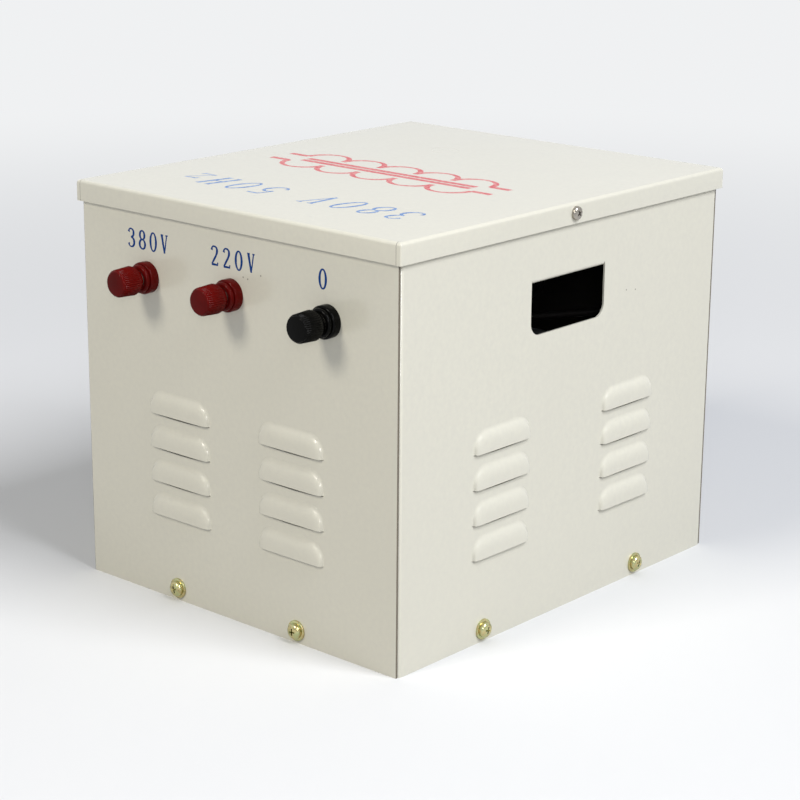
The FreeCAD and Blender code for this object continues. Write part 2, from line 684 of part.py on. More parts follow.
def clamp_angle(side, upper):
    """A steel angle along the core: the lower pair turn outwards as feet, the upper pair in over the core."""
    face = CORE_DEPTH / 2
    half = CORE_WIDTH / 2
    if upper:
        upright = (face, face + ANGLE_THICK, CORE_TOP - ANGLE_LEG, CORE_TOP + ANGLE_THICK)
        flat = (face + ANGLE_THICK - ANGLE_LEG, face + ANGLE_THICK, CORE_TOP, CORE_TOP + ANGLE_THICK)
    else:
        upright = (face, face + ANGLE_THICK, CORE_BOTTOM, CORE_BOTTOM + ANGLE_LEG)
        flat = (face, face + ANGLE_LEG, CORE_BOTTOM, CORE_BOTTOM + ANGLE_THICK)
    legs = [block(-half, half, y0, y1, z0, z1) for y0, y1, z0, z1 in (upright, flat)]
    angle = legs[0].fuse(legs[1]).removeSplitter()
    holes = through_y(CORE_BOLT_DIAMETER + 2 * HOLE_CLEARANCE)
    if not upper:
        holes += [Part.makeCylinder(PAN_STUD_DIAMETER / 2 + HOLE_CLEARANCE, ANGLE_LEG, V(x, y, 0))
                  for x, y in pan_stud_spots()]
    angle = angle.cut(holes)
    return half_turned(angle) if side == "front" else angle


def along_core(piece_front, piece_rear):
    """Put pieces built along +Z on the outer faces of the clamps, at each core bolt."""
    out = CORE_DEPTH / 2 + ANGLE_THICK
    front = [on_face(piece_front, x, z, END_FACE["front"], out) for x, z in core_bolt_spots()]
    rear = [on_face(piece_rear, x, z, END_FACE["rear"], out) for x, z in core_bolt_spots()]
    return front, rear


def core_bolts():
    """Bolts through the core from the front: head, shank and two threads past the nut."""
    through = CORE_DEPTH + 2 * ANGLE_THICK + CORE_WASHER_THICK + CORE_NUT["thick"] + CORE_BOLT_SPARE
    head = hexagon(CORE_HEAD["flats"], CORE_HEAD["thick"], CORE_WASHER_THICK)
    shank = Part.makeCylinder(CORE_BOLT_DIAMETER / 2, through + CORE_WASHER_THICK, V(0, 0, -through))
    bolt = head.fuse(shank)
    front, _ = along_core(bolt, bolt)
    return solids_together(front)


def core_nuts():
    nut = hex_nut(CORE_NUT, CORE_BOLT_DIAMETER + 2 * THREAD_FIT, CORE_WASHER_THICK)
    _, rear = along_core(nut, nut)
    return solids_together(rear)


def core_washers():
    disc = Part.makeCylinder(CORE_WASHER_DIAMETER / 2, CORE_WASHER_THICK)
    washer = disc.cut(Part.makeCylinder(CORE_BOLT_DIAMETER / 2 + HOLE_CLEARANCE, CORE_WASHER_THICK))
    front, rear = along_core(washer, washer)
    return solids_together(front + rear)


def pan_stud_spots():
    y = CORE_DEPTH / 2 + (ANGLE_THICK + ANGLE_LEG) / 2
    return [(side_x * PAN_STUD_X, side_y * y) for side_x in (-1, 1) for side_y in (-1, 1)]


def pan_studs():
    """Studs pressed flush into the floor of the tray."""
    height = PAN_SHEET + ANGLE_THICK + POST_NUT["thick"] + PAN_STUD_SPARE
    studs = []
    for x, y in pan_stud_spots():
        head = Part.makeCylinder(PAN_STUD_HEAD / 2, PAN_SHEET, V(x, y, 0))
        shank = Part.makeCylinder(PAN_STUD_DIAMETER / 2, height, V(x, y, 0))
        studs.append(head.fuse(shank).removeSplitter())
    return solids_together(studs)


def pan_nuts():
    nut = hex_nut(POST_NUT, PAN_STUD_DIAMETER + 2 * THREAD_FIT, CORE_BOTTOM + ANGLE_THICK)
    return solids_together([nut.translated(V(x, y, 0)) for x, y in pan_stud_spots()])


def lead(order, x, z):
    """An insulated lead from the coil's upper cheek into the lug of the front post at x and z."""
    start_y = -(CORE_DEPTH / 2 + ANGLE_THICK + (FORMER_REACH - ANGLE_THICK) / 2)
    start_x = (order - 1) * LEAD_SPREAD
    lug_y = -HALF_D - (LUG_BACK + LUG_THICK / 2)
    end_z = z - BARREL_DROP - BARREL_LENGTH + BARREL_STOP
    level = FORMER_TOP + LEAD_RISE
    points = [V(start_x, start_y, FORMER_TOP), V(start_x, start_y, level),
              V(x, lug_y, level), V(x, lug_y, end_z)]
    path = Part.Wire(tangent_path(points, [0, LEAD_BEND, LEAD_BEND, 0]))
    section = Part.Wire(Part.makeCircle(LEAD_DIAMETER / 2, points[0], V(0, 0, 1)))
    return path.makePipeShell([section], True, True)


# The whole assembly, one entry for each piece or group of like fasteners

def pieces():
    front = end_panel()
    right = side_panel()
    named = {
        "base_pan": base_pan(),
        "front_panel": front,
        "rear_panel": half_turned(front),
        "side_panel_right": right,
        "side_panel_left": half_turned(right),
        "lid": lid(),
        "lid_screws": lid_screws(),
        "base_screws": base_screws(),
        "base_washers": base_washers(),
        "base_weld_nuts": weld_nuts(),
    }
    outside = {"collar": post_collar(), "stud": post_stud(), "ring": post_ring(), "cap": post_cap()}
    for order, (name, x, z, turn) in enumerate(post_places()):
        for part_name, piece in outside.items():
            named["post_" + part_name + "_" + name] = on_face(piece, x, z, turn, HALF_D)
        wire = lead(order % len(POST_SPOT), x, z)
        named["lead_" + name] = half_turned(wire) if turn else wire
    named["post_bushes"] = on_posts(post_bush())
    named["post_washers"] = on_posts(post_washer())
    named["post_nuts"] = post_nuts()
    named["ring_lugs"] = on_posts(post_lug())
    named["core_laminations"] = core_laminations()
    named["coil_former"] = coil_former()
    named["primary_winding"] = coil_layer(0, PRIMARY_BUILD)
    named["winding_barrier"] = coil_layer(PRIMARY_BUILD, BARRIER_THICK)
    named["secondary_winding"] = coil_layer(PRIMARY_BUILD + BARRIER_THICK, SECONDARY_BUILD)
    named["coil_wrap"] = coil_layer(PRIMARY_BUILD + BARRIER_THICK + SECONDARY_BUILD, WRAP_THICK)
    for side in END_FACE:
        named["lower_clamp_" + side] = clamp_angle(side, upper=False)
        named["upper_clamp_" + side] = clamp_angle(side, upper=True)
    named["core_bolts"] = core_bolts()
    named["core_nuts"] = core_nuts()
    named["core_washers"] = core_washers()
    named["pan_studs"] = pan_studs()
    named["pan_nuts"] = pan_nuts()
    return named


os.makedirs("parts", exist_ok=True)
for name, shape in pieces().items():
    shape.exportStep("parts/" + name + ".step")
    print(name, len(shape.Solids), round(shape.Volume, 1), shape.isValid())
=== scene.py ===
# %% [markdown]
# A small dry transformer in a folded sheet-metal case, with screw-cap binding posts on its two end faces.
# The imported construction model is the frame: it gives every place and size, and it stays as it is.
# This script gives that frame its finishes, and puts finer pieces where the frame's own are too plain:
# the posts, the screws, the louvred panels, the folded lid and the printed marks.

# %% The frame
import json
import math

import bpy
from mathutils import Matrix, Vector


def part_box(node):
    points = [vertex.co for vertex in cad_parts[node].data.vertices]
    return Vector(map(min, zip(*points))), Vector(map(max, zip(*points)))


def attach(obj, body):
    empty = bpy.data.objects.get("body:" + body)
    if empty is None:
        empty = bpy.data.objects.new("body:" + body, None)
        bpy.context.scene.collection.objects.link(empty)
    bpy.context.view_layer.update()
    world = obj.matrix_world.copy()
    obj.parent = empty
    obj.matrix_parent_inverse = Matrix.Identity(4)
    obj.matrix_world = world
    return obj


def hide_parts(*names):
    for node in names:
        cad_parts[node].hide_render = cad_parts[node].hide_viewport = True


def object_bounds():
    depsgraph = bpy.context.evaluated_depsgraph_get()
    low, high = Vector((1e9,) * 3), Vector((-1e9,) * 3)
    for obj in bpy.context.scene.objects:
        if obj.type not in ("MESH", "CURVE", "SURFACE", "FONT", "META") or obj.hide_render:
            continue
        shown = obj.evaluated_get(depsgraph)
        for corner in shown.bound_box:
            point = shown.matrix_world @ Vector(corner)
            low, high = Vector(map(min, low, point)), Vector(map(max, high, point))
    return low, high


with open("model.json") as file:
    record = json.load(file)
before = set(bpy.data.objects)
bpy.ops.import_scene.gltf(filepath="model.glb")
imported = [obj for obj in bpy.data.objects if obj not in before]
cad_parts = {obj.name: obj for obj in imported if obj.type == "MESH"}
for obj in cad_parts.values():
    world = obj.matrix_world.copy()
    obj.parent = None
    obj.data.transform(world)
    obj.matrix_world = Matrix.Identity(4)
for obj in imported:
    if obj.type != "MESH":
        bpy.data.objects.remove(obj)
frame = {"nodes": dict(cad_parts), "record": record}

MM = 0.001
cad_low, cad_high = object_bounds()
nodes = frame["nodes"]
bpy.ops.object.select_all(action="DESELECT")
print("size in mm", [round((b - a) / MM, 1) for a, b in zip(cad_low, cad_high)])

# %% [markdown]
# The camera stands where the photograph's did: a little to the right of the near corner and slightly above. It
# could be set by eye, but its place was worked out from the edges of the box, whose three vanishing points fix the
# direction, the distance and the lens. Distances are given as multiples of the case's height.

# %% Camera
CASE_HEIGHT = cad_high.z - cad_low.z
MIDDLE = Vector((0, 0, CASE_HEIGHT / 2))
CAMERA_AZIMUTH = math.radians(41.4006)
CAMERA_ELEVATION = math.radians(16.4140)
CAMERA_ROLL = math.radians(0.4577)
CAMERA_DISTANCE = 5.5382 * CASE_HEIGHT
CAMERA_ASIDE = -0.0112 * CASE_HEIGHT
CAMERA_RAISED = -0.0772 * CASE_HEIGHT
FOCAL_PIXELS = 2199.8
PICTURE_PIXELS = 800
SENSOR_MM = 36.0

back = Vector((math.sin(CAMERA_AZIMUTH) * math.cos(CAMERA_ELEVATION),
               -math.cos(CAMERA_AZIMUTH) * math.cos(CAMERA_ELEVATION),
               math.sin(CAMERA_ELEVATION)))
aside = Vector((0, 0, 1)).cross(back).normalized()
raised = back.cross(aside)
target = MIDDLE + aside * CAMERA_ASIDE + raised * CAMERA_RAISED
across = aside * math.cos(CAMERA_ROLL) + raised * math.sin(CAMERA_ROLL)
upward = back.cross(across)

bpy.ops.object.camera_add(location=target + back * CAMERA_DISTANCE)
camera = bpy.context.object
camera.rotation_euler = Matrix((across, upward, back)).transposed().to_euler()
camera.data.sensor_width = SENSOR_MM
camera.data.lens = FOCAL_PIXELS / PICTURE_PIXELS * SENSOR_MM
bpy.context.scene.camera = camera
print("lens in mm", round(camera.data.lens, 1), "at", [round(c, 3) for c in camera.location])

# %% [markdown]
# Every finish is built from nodes, so that it holds at any distance and on any side, where a painted picture would
# have to be laid out flat. The helpers below keep the cells short: one starts a material, the others add and join
# nodes. Patterns read Object coordinates, which are metres here. A noise keeps mostly between 0.2 and 0.8: WIDE
# takes all of that for a soft drift, CLOSE only the middle for clearer patches.

# %% Helpers for finishes
COAT_ROUGHNESS = 0.08
WIDE, CLOSE = (0.2, 0.8), (0.35, 0.65)


def screen_colour(red, green, blue):
    """A colour written as screen values from 0 to 255, in the linear form that shaders use."""
    def linear(value):
        value /= 255
        return value / 12.92 if value <= 0.04045 else ((value + 0.055) / 1.055) ** 2.4
    return (linear(red), linear(green), linear(blue), 1)


def linear_colour(colour):
    """Three numbers are a screen colour, four are a linear one already."""
    return screen_colour(*colour) if len(colour) == 3 else colour


class Finish:
    """A material under construction: its node tree, its shader, and short ways to add and join nodes."""

    def __init__(self, name, colour, roughness, metallic=0.0, coat=0.0):
        self.material = bpy.data.materials.new(name)
        self.material.use_nodes = True
        self.tree = self.material.node_tree
        self.shader = self.tree.nodes["Principled BSDF"]
        for key, value in (("Base Color", linear_colour(colour)), ("Roughness", roughness), ("Metallic", metallic),
                           ("Coat Weight", coat), ("Coat Roughness", COAT_ROUGHNESS)):
            self.shader.inputs[key].default_value = value
        self.place = self.node("ShaderNodeTexCoord").outputs["Object"]

    def node(self, kind, values=None, **settings):
        made = self.tree.nodes.new(kind)
        for key, value in settings.items():
            setattr(made, key, value)
        for key, value in (values or {}).items():
            made.inputs[key].default_value = value
        return made

    def join(self, source, target):
        self.tree.links.new(source, target)

    def noise(self, size, detail=2.0):
        """Soft noise whose blotches are about size metres across."""
        made = self.node("ShaderNodeTexNoise", {"Scale": 1 / size, "Detail": detail})
        self.join(self.place, made.inputs["Vector"])
        return made.outputs["Fac"]

    def calc(self, operation, *values):
        """One step of arithmetic on sockets and plain numbers."""
        made = self.node("ShaderNodeMath", operation=operation)
        for value, socket in zip(values, made.inputs):
            if isinstance(value, float):
                socket.default_value = value
            else:
                self.join(value, socket)
        return made.outputs[0]

    def band(self, value, low, high, to_low=0.0, to_high=1.0, **settings):
        """Stretch value so that low to high becomes to_low to to_high."""
        made = self.node("ShaderNodeMapRange", {"From Min": low, "From Max": high, "To Min": to_low,
                                                "To Max": to_high}, **settings)
        self.join(value, made.inputs["Value"])
        return made.outputs["Result"]

    def blend(self, amount, first, second):
        """Mix two colours, or a socket and a colour, by amount."""
        made = self.node("ShaderNodeMix", data_type="RGBA")
        self.join(amount, made.inputs["Factor"])
        for end, value in (("A", first), ("B", second)):
            socket = next(s for s in made.inputs if s.name == end and s.type == "RGBA")
            if isinstance(value, tuple):
                socket.default_value = linear_colour(value)
            else:
                self.join(value, socket)
        return next(s for s in made.outputs if s.type == "RGBA")

    def colour(self, socket):
        self.join(socket, self.shader.inputs["Base Color"])

    def roughness(self, socket):
        self.join(socket, self.shader.inputs["Roughness"])

    def relief(self, height, depth, strength=1.0):
        """Raise the surface by height times depth metres; a second call adds to the first."""
        made = self.node("ShaderNodeBump", {"Distance": depth, "Strength": strength})
        self.join(height, made.inputs["Height"])
        before = self.shader.inputs["Normal"]
        if before.is_linked:
            self.join(before.links[0].from_socket, made.inputs["Normal"])
        self.join(made.outputs["Normal"], self.shader.inputs["Normal"])


print("screen grey 188 is linear", round(screen_colour(188, 188, 188)[0], 3))

# %% [markdown]
# The light is that of a small product studio. A large soft lamp to the right lights the lid and the right side. A
# second one, lower and a little to the left, lights the front and throws the posts' short shadows down and to the
# right. A small one just behind the camera and above it puts the glints on the hoods' shoulders and on the caps. One
# picture of a studio could give the same light, but lamps can be set one by one.

# %% Lamps
LAMPS = (("key lamp", (3.5, 0.25, 3.7), 2.4, 226, (1.0, 1.0, 1.02)),
         ("front lamp", (-0.55, -3.25, 2.75), 1.1, 71, (1.0, 0.94, 0.83)),
         ("small lamp", (1.0, -1.15, 0.62), 0.25, 3.4, (1.0, 0.98, 0.95)))
for name, place, width, watts, tint in LAMPS:
    bpy.ops.object.light_add(type="AREA", location=place)
    lamp = bpy.context.object
    lamp.name = name
    light = lamp.data
    light.shape, light.size, light.energy, light.color = "SQUARE", width, watts, tint
    lamp.rotation_euler = (Vector(place) - MIDDLE).to_track_quat("Z", "Y").to_euler()
print("lamps", [lamp[0] for lamp in LAMPS])

# %% [markdown]
# The rest of the light comes evenly from all round. The backdrop is pale to the eye and in reflections, and duller
# for the light that it throws back. A real one does both at once, but then the shaded faces come out too bright.

# %% Surround

def seen_directly(tree):
    """A socket that is 1 for what the eye, a reflection or a clear body shows, and 0 for light thrown on."""
    path = tree.nodes.new("ShaderNodeLightPath")
    total = path.outputs["Is Camera Ray"]
    for kind in ("Is Glossy Ray", "Is Transmission Ray"):
        larger = tree.nodes.new("ShaderNodeMath")
        larger.operation = "MAXIMUM"
        tree.links.new(total, larger.inputs[0])
        tree.links.new(path.outputs[kind], larger.inputs[1])
        total = larger.outputs[0]
    return total


def mix_shaders(tree, amount, first, second):
    """The socket of two shaders mixed by amount."""
    mixed = tree.nodes.new("ShaderNodeMixShader")
    for source, socket in zip((amount, first, second), mixed.inputs):
        tree.links.new(source, socket)
    return mixed.outputs[0]


BACKDROP = (0.87, 0.88, 0.89, 1)
SURROUND_TINT = (0.90, 0.97, 1.10, 1)
SURROUND_LIGHT = 0.24
world = bpy.data.worlds.new("studio surround")
world.use_nodes = True
bpy.context.scene.world = world
around = world.node_tree
surround = around.nodes["Background"]
surround.inputs["Color"].default_value = SURROUND_TINT
surround.inputs["Strength"].default_value = SURROUND_LIGHT
seen = around.nodes.new("ShaderNodeBackground")
seen.inputs["Color"].default_value = BACKDROP
shown = mix_shaders(around, seen_directly(around), surround.outputs[0], seen.outputs[0])
around.links.new(shown, around.nodes["World Output"].inputs["Surface"])
print("surround", SURROUND_LIGHT)

# %% [markdown]
# The case stands on white paper that sweeps up behind it. A bent sheet would do, but it would stand in the way of the
# views from behind, so the floor stays flat and fades into the backdrop with the distance.

# %% Floor
FLOOR_SIZE = 16
FLOOR_THROWN = (0.41, 0.405, 0.395, 1)
FLOOR_SEEN = (0.76, 0.77, 0.78, 1)
SWEEP_NEAR, SWEEP_FAR = 0.35, 1.9
bpy.ops.mesh.primitive_plane_add(size=FLOOR_SIZE, location=(0, 0, 0))
floor = bpy.context.object
floor.name = "studio_floor"
paper = Finish("studio floor", FLOOR_SEEN, 0.9)
paper.shader.inputs["Specular IOR Level"].default_value = 0.1
paper.colour(paper.blend(seen_directly(paper.tree), FLOOR_THROWN, FLOOR_SEEN))
reach = paper.node("ShaderNodeVectorMath", operation="LENGTH")
paper.join(paper.place, reach.inputs[0])
far = paper.band(reach.outputs["Value"], SWEEP_NEAR, SWEEP_FAR, interpolation_type="SMOOTHSTEP")
sweep = paper.node("ShaderNodeEmission", {"Color": BACKDROP})
far_and_seen = paper.calc("MULTIPLY", far, seen_directly(paper.tree))
swept = mix_shaders(paper.tree, far_and_seen, paper.shader.outputs[0], sweep.outputs[0])
paper.join(swept, paper.tree.nodes["Material Output"].inputs["Surface"])
floor.data.materials.append(paper.material)
bpy.context.scene.view_settings.view_transform = "Standard"
print("floor fades from", SWEEP_NEAR, "to", SWEEP_FAR, "metres")

# %% [markdown]
# The case is sprayed with ivory stoving enamel, smooth and fairly glossy, with a trace of orange peel. The colour
# drifts a little where the coat is thicker. A few specks of grit were caught in it near the middle post and above
# the carrying slot. The vertical edges of the end panels get a dark strip of painted shade, for the shadow in the
# gap of the corner seam. The inner faces get a near-black painted shade, so that the slots and slits look black.
# Each of these could be a material of its own, but then the sheets would have to be cut up, so one finish tells
# them apart by their place. Places are in millimetres.

# %% Ivory enamel
GRIT = ((9.3, -150, 211.6), (13.0, -150, 211.0), (23.4, -150, 214.6), (128, 65.4, 186.5), (128, 56.1, 187.8))
GRIT_CORE, GRIT_RIM, GRIT_STRENGTH = 0.35, 0.65, 0.6
EDGE_X, EDGE_WIDTH, EDGE_Y = 127.0, 0.12, 148.7
INNER_REACH = {"X": 126.85, "Y": 148.85, "Z": 248.85}


def ivory_enamel():
    finish = Finish("ivory enamel", (219, 217, 204), 0.24, coat=0.3)
    drift = finish.band(finish.noise(0.11, 3), *WIDE)
    coat = finish.blend(drift, (221, 219, 204), (216, 214, 200))
    grain = finish.band(finish.noise(0.003, 2), *WIDE)
    coat = finish.blend(grain, coat, (214, 212, 199))
    for grit in GRIT:
        apart = finish.node("ShaderNodeVectorMath", operation="DISTANCE")
        apart.inputs[1].default_value = [c * MM for c in grit]
        finish.join(finish.place, apart.inputs[0])
        speck = finish.band(apart.outputs["Value"], GRIT_CORE * MM, GRIT_RIM * MM, GRIT_STRENGTH, 0.0)
        coat = finish.blend(speck, coat, (70, 58, 48))
    both_sides = finish.node("ShaderNodeVectorMath", operation="ABSOLUTE")
    finish.join(finish.place, both_sides.inputs[0])
    split = finish.node("ShaderNodeSeparateXYZ")
    finish.join(both_sides.outputs[0], split.inputs["Vector"])
    away = split.outputs
    # Painted shade: a dark strip on the end panels' vertical edges stands in for the shadow in the corner seam's gap.
    at_edge = finish.calc("COMPARE", away["X"], EDGE_X * MM, EDGE_WIDTH * MM)
    seam_shade = finish.calc("MULTIPLY", at_edge, finish.calc("GREATER_THAN", away["Y"], EDGE_Y * MM))
    coat = finish.blend(seam_shade, coat, (104, 95, 80))
    # Painted shade: every face inside the case is made near-black, so that the openings look dark.
    within = [finish.calc("LESS_THAN", away[axis], limit * MM) for axis, limit in INNER_REACH.items()]
    inner = finish.calc("MULTIPLY", finish.calc("MULTIPLY", within[0], within[1]), within[2])
    finish.colour(finish.blend(inner, coat, (34, 33, 32)))
    finish.roughness(finish.band(finish.noise(0.05, 1), *WIDE, 0.22, 0.28))
    finish.relief(finish.noise(0.0025, 1), 0.00001, 0.2)
    return finish.material


IVORY = ivory_enamel()
print(IVORY.name, "nodes", len(IVORY.node_tree.nodes))

# %% [markdown]
# The posts are pressed from phenolic resin: dark red for the live taps and black for the common one. The moulding is
# deep in colour and glossy, and fingers have left it duller here and there. A plain gloss would do from far off, but
# two soft noises keep it from looking like new plastic.

# %% Phenolic mouldings
def phenolic(name, colour, darker):
    finish = Finish(name, colour, 0.16)
    finish.shader.inputs["Specular IOR Level"].default_value = 0.07
    finish.colour(finish.blend(finish.band(finish.noise(0.012, 2), *CLOSE), colour, darker))
    finish.roughness(finish.band(finish.noise(0.006, 2), *CLOSE, 0.07, 0.12))
    finish.relief(finish.noise(0.002, 1), 0.000004, 0.2)
    return finish.material


RED_PHENOLIC = phenolic("dark red phenolic", (92, 6, 4), (82, 6, 4))
BLACK_PHENOLIC = phenolic("black phenolic", (7, 7, 6), (5, 5, 5))
print(RED_PHENOLIC.name, BLACK_PHENOLIC.name)

# %% [markdown]
# The small metal parts are plated. Yellow passivated zinc shifts between straw, green and pink as its film
# varies. One flat yellow would look like brass, so its colour runs through a ramp that a soft noise drives. Nickel
# is plain and bright, and turned brass and steel carry fine tool marks. The clamping rings' nickel is rougher, and
# its colour is darker as painted shade of the gap between cap and collar that the rings sit in.

# %% Plated and turned metal
RAMP_START, RAMP_END = 0.3, 0.7


def plated(name, roughness, *tints, size=0.003):
    finish = Finish(name, tints[0], roughness, metallic=1.0)
    ramp = finish.node("ShaderNodeValToRGB")
    stops = ramp.color_ramp.elements
    for stop, position, tint in ((0, RAMP_START, tints[0]), (1, RAMP_END, tints[-1])):
        stops[stop].position = position
        stops[stop].color = screen_colour(*tint)
    for i, tint in enumerate(tints[1:-1]):
        position = RAMP_START + (RAMP_END - RAMP_START) * (i + 1) / (len(tints) - 1)
        stops.new(position).color = screen_colour(*tint)
    finish.join(finish.noise(size, 2), ramp.inputs["Fac"])
    finish.colour(ramp.outputs["Color"])
    finish.roughness(finish.band(finish.noise(size / 3, 2), 0.3, 0.7, roughness * 0.8, roughness * 1.3))
    finish.relief(finish.noise(size / 6, 2), 0.00001, 0.3)
    return finish.material


YELLOW_ZINC = plated("yellow zinc", 0.17, (200, 194, 140), (182, 188, 142), (204, 186, 136), (152, 156, 110))
NICKEL = plated("bright nickel", 0.13, (178, 172, 162), (150, 145, 137))
# Painted shade: the rings' nickel is darker than the screws', for the shade of the gap between cap and collar.
SHADED_DULL_NICKEL = plated("handled_and_shaded nickel", 0.22, (150, 146, 138), (118, 114, 108))
BRASS = plated("turned brass", 0.26, (214, 178, 104), (198, 160, 88))
PLAIN_STEEL = plated("plain steel", 0.38, (168, 168, 170), (148, 148, 152))
TINNED = plated("tinned copper", 0.3, (204, 202, 198), (186, 184, 180))
print("metals", [m.name for m in (YELLOW_ZINC, NICKEL, SHADED_DULL_NICKEL, BRASS, PLAIN_STEEL, TINNED)])

# %% [markdown]
# Inside, the core is a stack of half-millimetre sheets, and each winding is enamelled wire laid turn beside
# turn. They could be modelled sheet by sheet and turn by turn, but the case hides nearly all of it, so both are
# simple stripes in the right direction: the core's run along Y, the windings' along Z. Each groove is also darker:
# between the turns this is painted shade in the hollow, between the sheets partly a dark joint and partly painted
# shade.

# %% Core, windings and insulation
def striped(name, colour, groove_shade, axis, pitch, roughness, metallic):
    """A finish with fine grooves across one axis, one for each sheet or turn of wire."""
    finish = Finish(name, colour, roughness, metallic=metallic)
    split = finish.node("ShaderNodeSeparateXYZ")
    finish.join(finish.place, split.inputs["Vector"])
    count = finish.calc("MULTIPLY", split.outputs[axis], math.pi / pitch)
    hump = finish.calc("ABSOLUTE", finish.calc("SINE", count))
    # Painted shade: the groove colour darkens the hollow of each groove.
    finish.colour(finish.blend(finish.band(hump, 0.0, 0.45), groove_shade, colour))
    finish.relief(hump, pitch * 0.3, 0.8)
    return finish.material


SHEET_PITCH, WIRE_PITCH = 0.0005, 0.0021
CORE_STEEL = striped("varnished core sheets", (96, 97, 100), (42, 40, 40), "Y", SHEET_PITCH, 0.45, 0.7)
COPPER_WIRE = striped("enamelled wire", (160, 84, 44), (70, 30, 18), "Z", WIRE_PITCH, 0.3, 0.6)


def fibrous(name, colour, darker, roughness):
    finish = Finish(name, colour, roughness)
    finish.colour(finish.blend(finish.band(finish.noise(0.002, 4), *CLOSE), colour, darker))
    finish.relief(finish.noise(0.0008, 3), 0.00004, 0.5)
    return finish.material


PRESSBOARD = fibrous("brown pressboard", (178, 148, 104), (158, 128, 88), 0.75)
YELLOW_TAPE = fibrous("varnished tape", (214, 172, 62), (196, 154, 50), 0.4)
BLACK_WIRE = fibrous("black insulation", (30, 29, 28), (22, 21, 21), 0.5)
GREY_ENAMEL = fibrous("grey enamel", (92, 94, 97), (84, 86, 89), 0.45)
print("inner finishes", [m.name for m in (CORE_STEEL, COPPER_WIRE, PRESSBOARD, YELLOW_TAPE, GREY_ENAMEL)])

# %% [markdown]
# The record names a slot for every node, so the finishes go on by slot. They could go on node by node, but then one
# could be forgotten. Nothing is left with the plain colour that the frame came in.

# %% Finishes onto the frame
FINISH_OF_SLOT = {
    "cream_paint": IVORY, "grey_paint": GREY_ENAMEL, "plated_screw": NICKEL, "yellow_zinc": YELLOW_ZINC,
    "plain_steel": PLAIN_STEEL, "core_steel": CORE_STEEL, "red_moulding": RED_PHENOLIC,
    "black_moulding": BLACK_PHENOLIC, "brass": BRASS, "nickel_plate": SHADED_DULL_NICKEL, "tinned_copper": TINNED,
    "enamelled_copper": COPPER_WIRE, "pressboard": PRESSBOARD, "yellow_tape": YELLOW_TAPE,
    "black_lead": BLACK_WIRE,
}
SLOT_OF_NODE = {part["node"]: part["material_slot"] for part in frame["record"]["subparts"]}
for name, node in nodes.items():
    node.data.materials.clear()
    node.data.materials.append(FINISH_OF_SLOT[SLOT_OF_NODE[name]])
print("finished nodes", len(nodes))

# %% [markdown]
# The finer pieces are drawn by hand steps: pick some edges or faces, then bevel, stretch or cut them. A mesh could
# be a written list of corners, but such steps can be read and changed. The helpers here pick, size and cut.
# A corner counts as in its place when it is less than NEAR or RING_NEAR millimetres away.

# %% Helpers for picking and changing a piece
NEAR = 0.01
RING_NEAR = 0.02
MERGE = 0.001


def mode(name):
    bpy.ops.object.mode_set(mode=name)


def pick_all():
    bpy.ops.mesh.select_all(action="SELECT")


def stretch(x, y, z=1):
    """Stretch what is picked away from the middle of the bench."""
    bpy.ops.transform.resize(value=(x, y, z), center_override=(0, 0, 0))


def move(x, y, z):
    bpy.ops.transform.translate(value=(x, y, z))


def only(piece):
    """Make one piece the selected and active one."""
    bpy.ops.object.select_all(action="DESELECT")
    piece.select_set(True)
    bpy.context.view_layer.objects.active = piece


def pick(piece, kind, wanted, together=None):
    """Go to edit mode with those corners, edges or faces selected whose every corner is wanted.

    Together, where it is given, also has to hold for all the corners of one edge or face."""
    mode("EDIT")
    bpy.ops.mesh.select_mode(type=kind)
    bpy.ops.mesh.select_all(action="DESELECT")
    mode("OBJECT")
    corners = piece.data.vertices
    if kind == "VERT":
        for corner in corners:
            corner.select = wanted(corner.co)
    else:
        for part in piece.data.edges if kind == "EDGE" else piece.data.polygons:
            ends = [corners[i].co for i in part.vertices]
            part.select = all(wanted(end) for end in ends) and (together is None or together(*ends))
    mode("EDIT")


def on_ring(corner, radius, height):
    """True for a corner that lies on the ring of that radius and height."""
    return (abs(math.hypot(corner.x, corner.y) - radius * MM) < RING_NEAR * MM
            and abs(corner.z - height * MM) < RING_NEAR * MM)


def bevel_edges(width, segments):
    """Bevel the picked edges, and leave edit mode."""
    bpy.ops.mesh.bevel(offset=width * MM, segments=segments, affect="EDGES")
    mode("OBJECT")


def set_size(piece, name, size, shift=(0, 0, 0)):
    """Name, size and place a new plain shape by its mesh, so that the piece itself stays unscaled."""
    piece.name = name
    mode("EDIT")
    pick_all()
    stretch(*size)
    move(*shift)
    mode("OBJECT")
    return piece


def work(piece, kind, **settings):
    """Give a piece a modifier with these settings, and apply it."""
    step = piece.modifiers.new("step", kind)
    for setting, value in settings.items():
        setattr(step, setting, value)
    bpy.context.view_layer.objects.active = piece
    bpy.ops.object.modifier_apply(modifier=step.name)


def cut_out(piece, tool):
    """Cut a tool's shape out of a piece, and put the tool away."""
    work(piece, "BOOLEAN", operation="DIFFERENCE", solver="EXACT", object=tool)
    bpy.data.objects.remove(tool)


print("within mm", NEAR, RING_NEAR, "merged within", MERGE)

# %% [markdown]
# The round pieces are drawn the way a turner or a moulder thinks of them: one circle that is pulled up ring by ring
# along its axis, wider here and narrower there. A profile spun round an axis would give the same form, but here any
# rim can be picked again by its radius and height, to break it with a small bevel. Each piece is drawn as if its
# panel lay flat on the bench, with the panel's outer face at height zero. All numbers are millimetres.

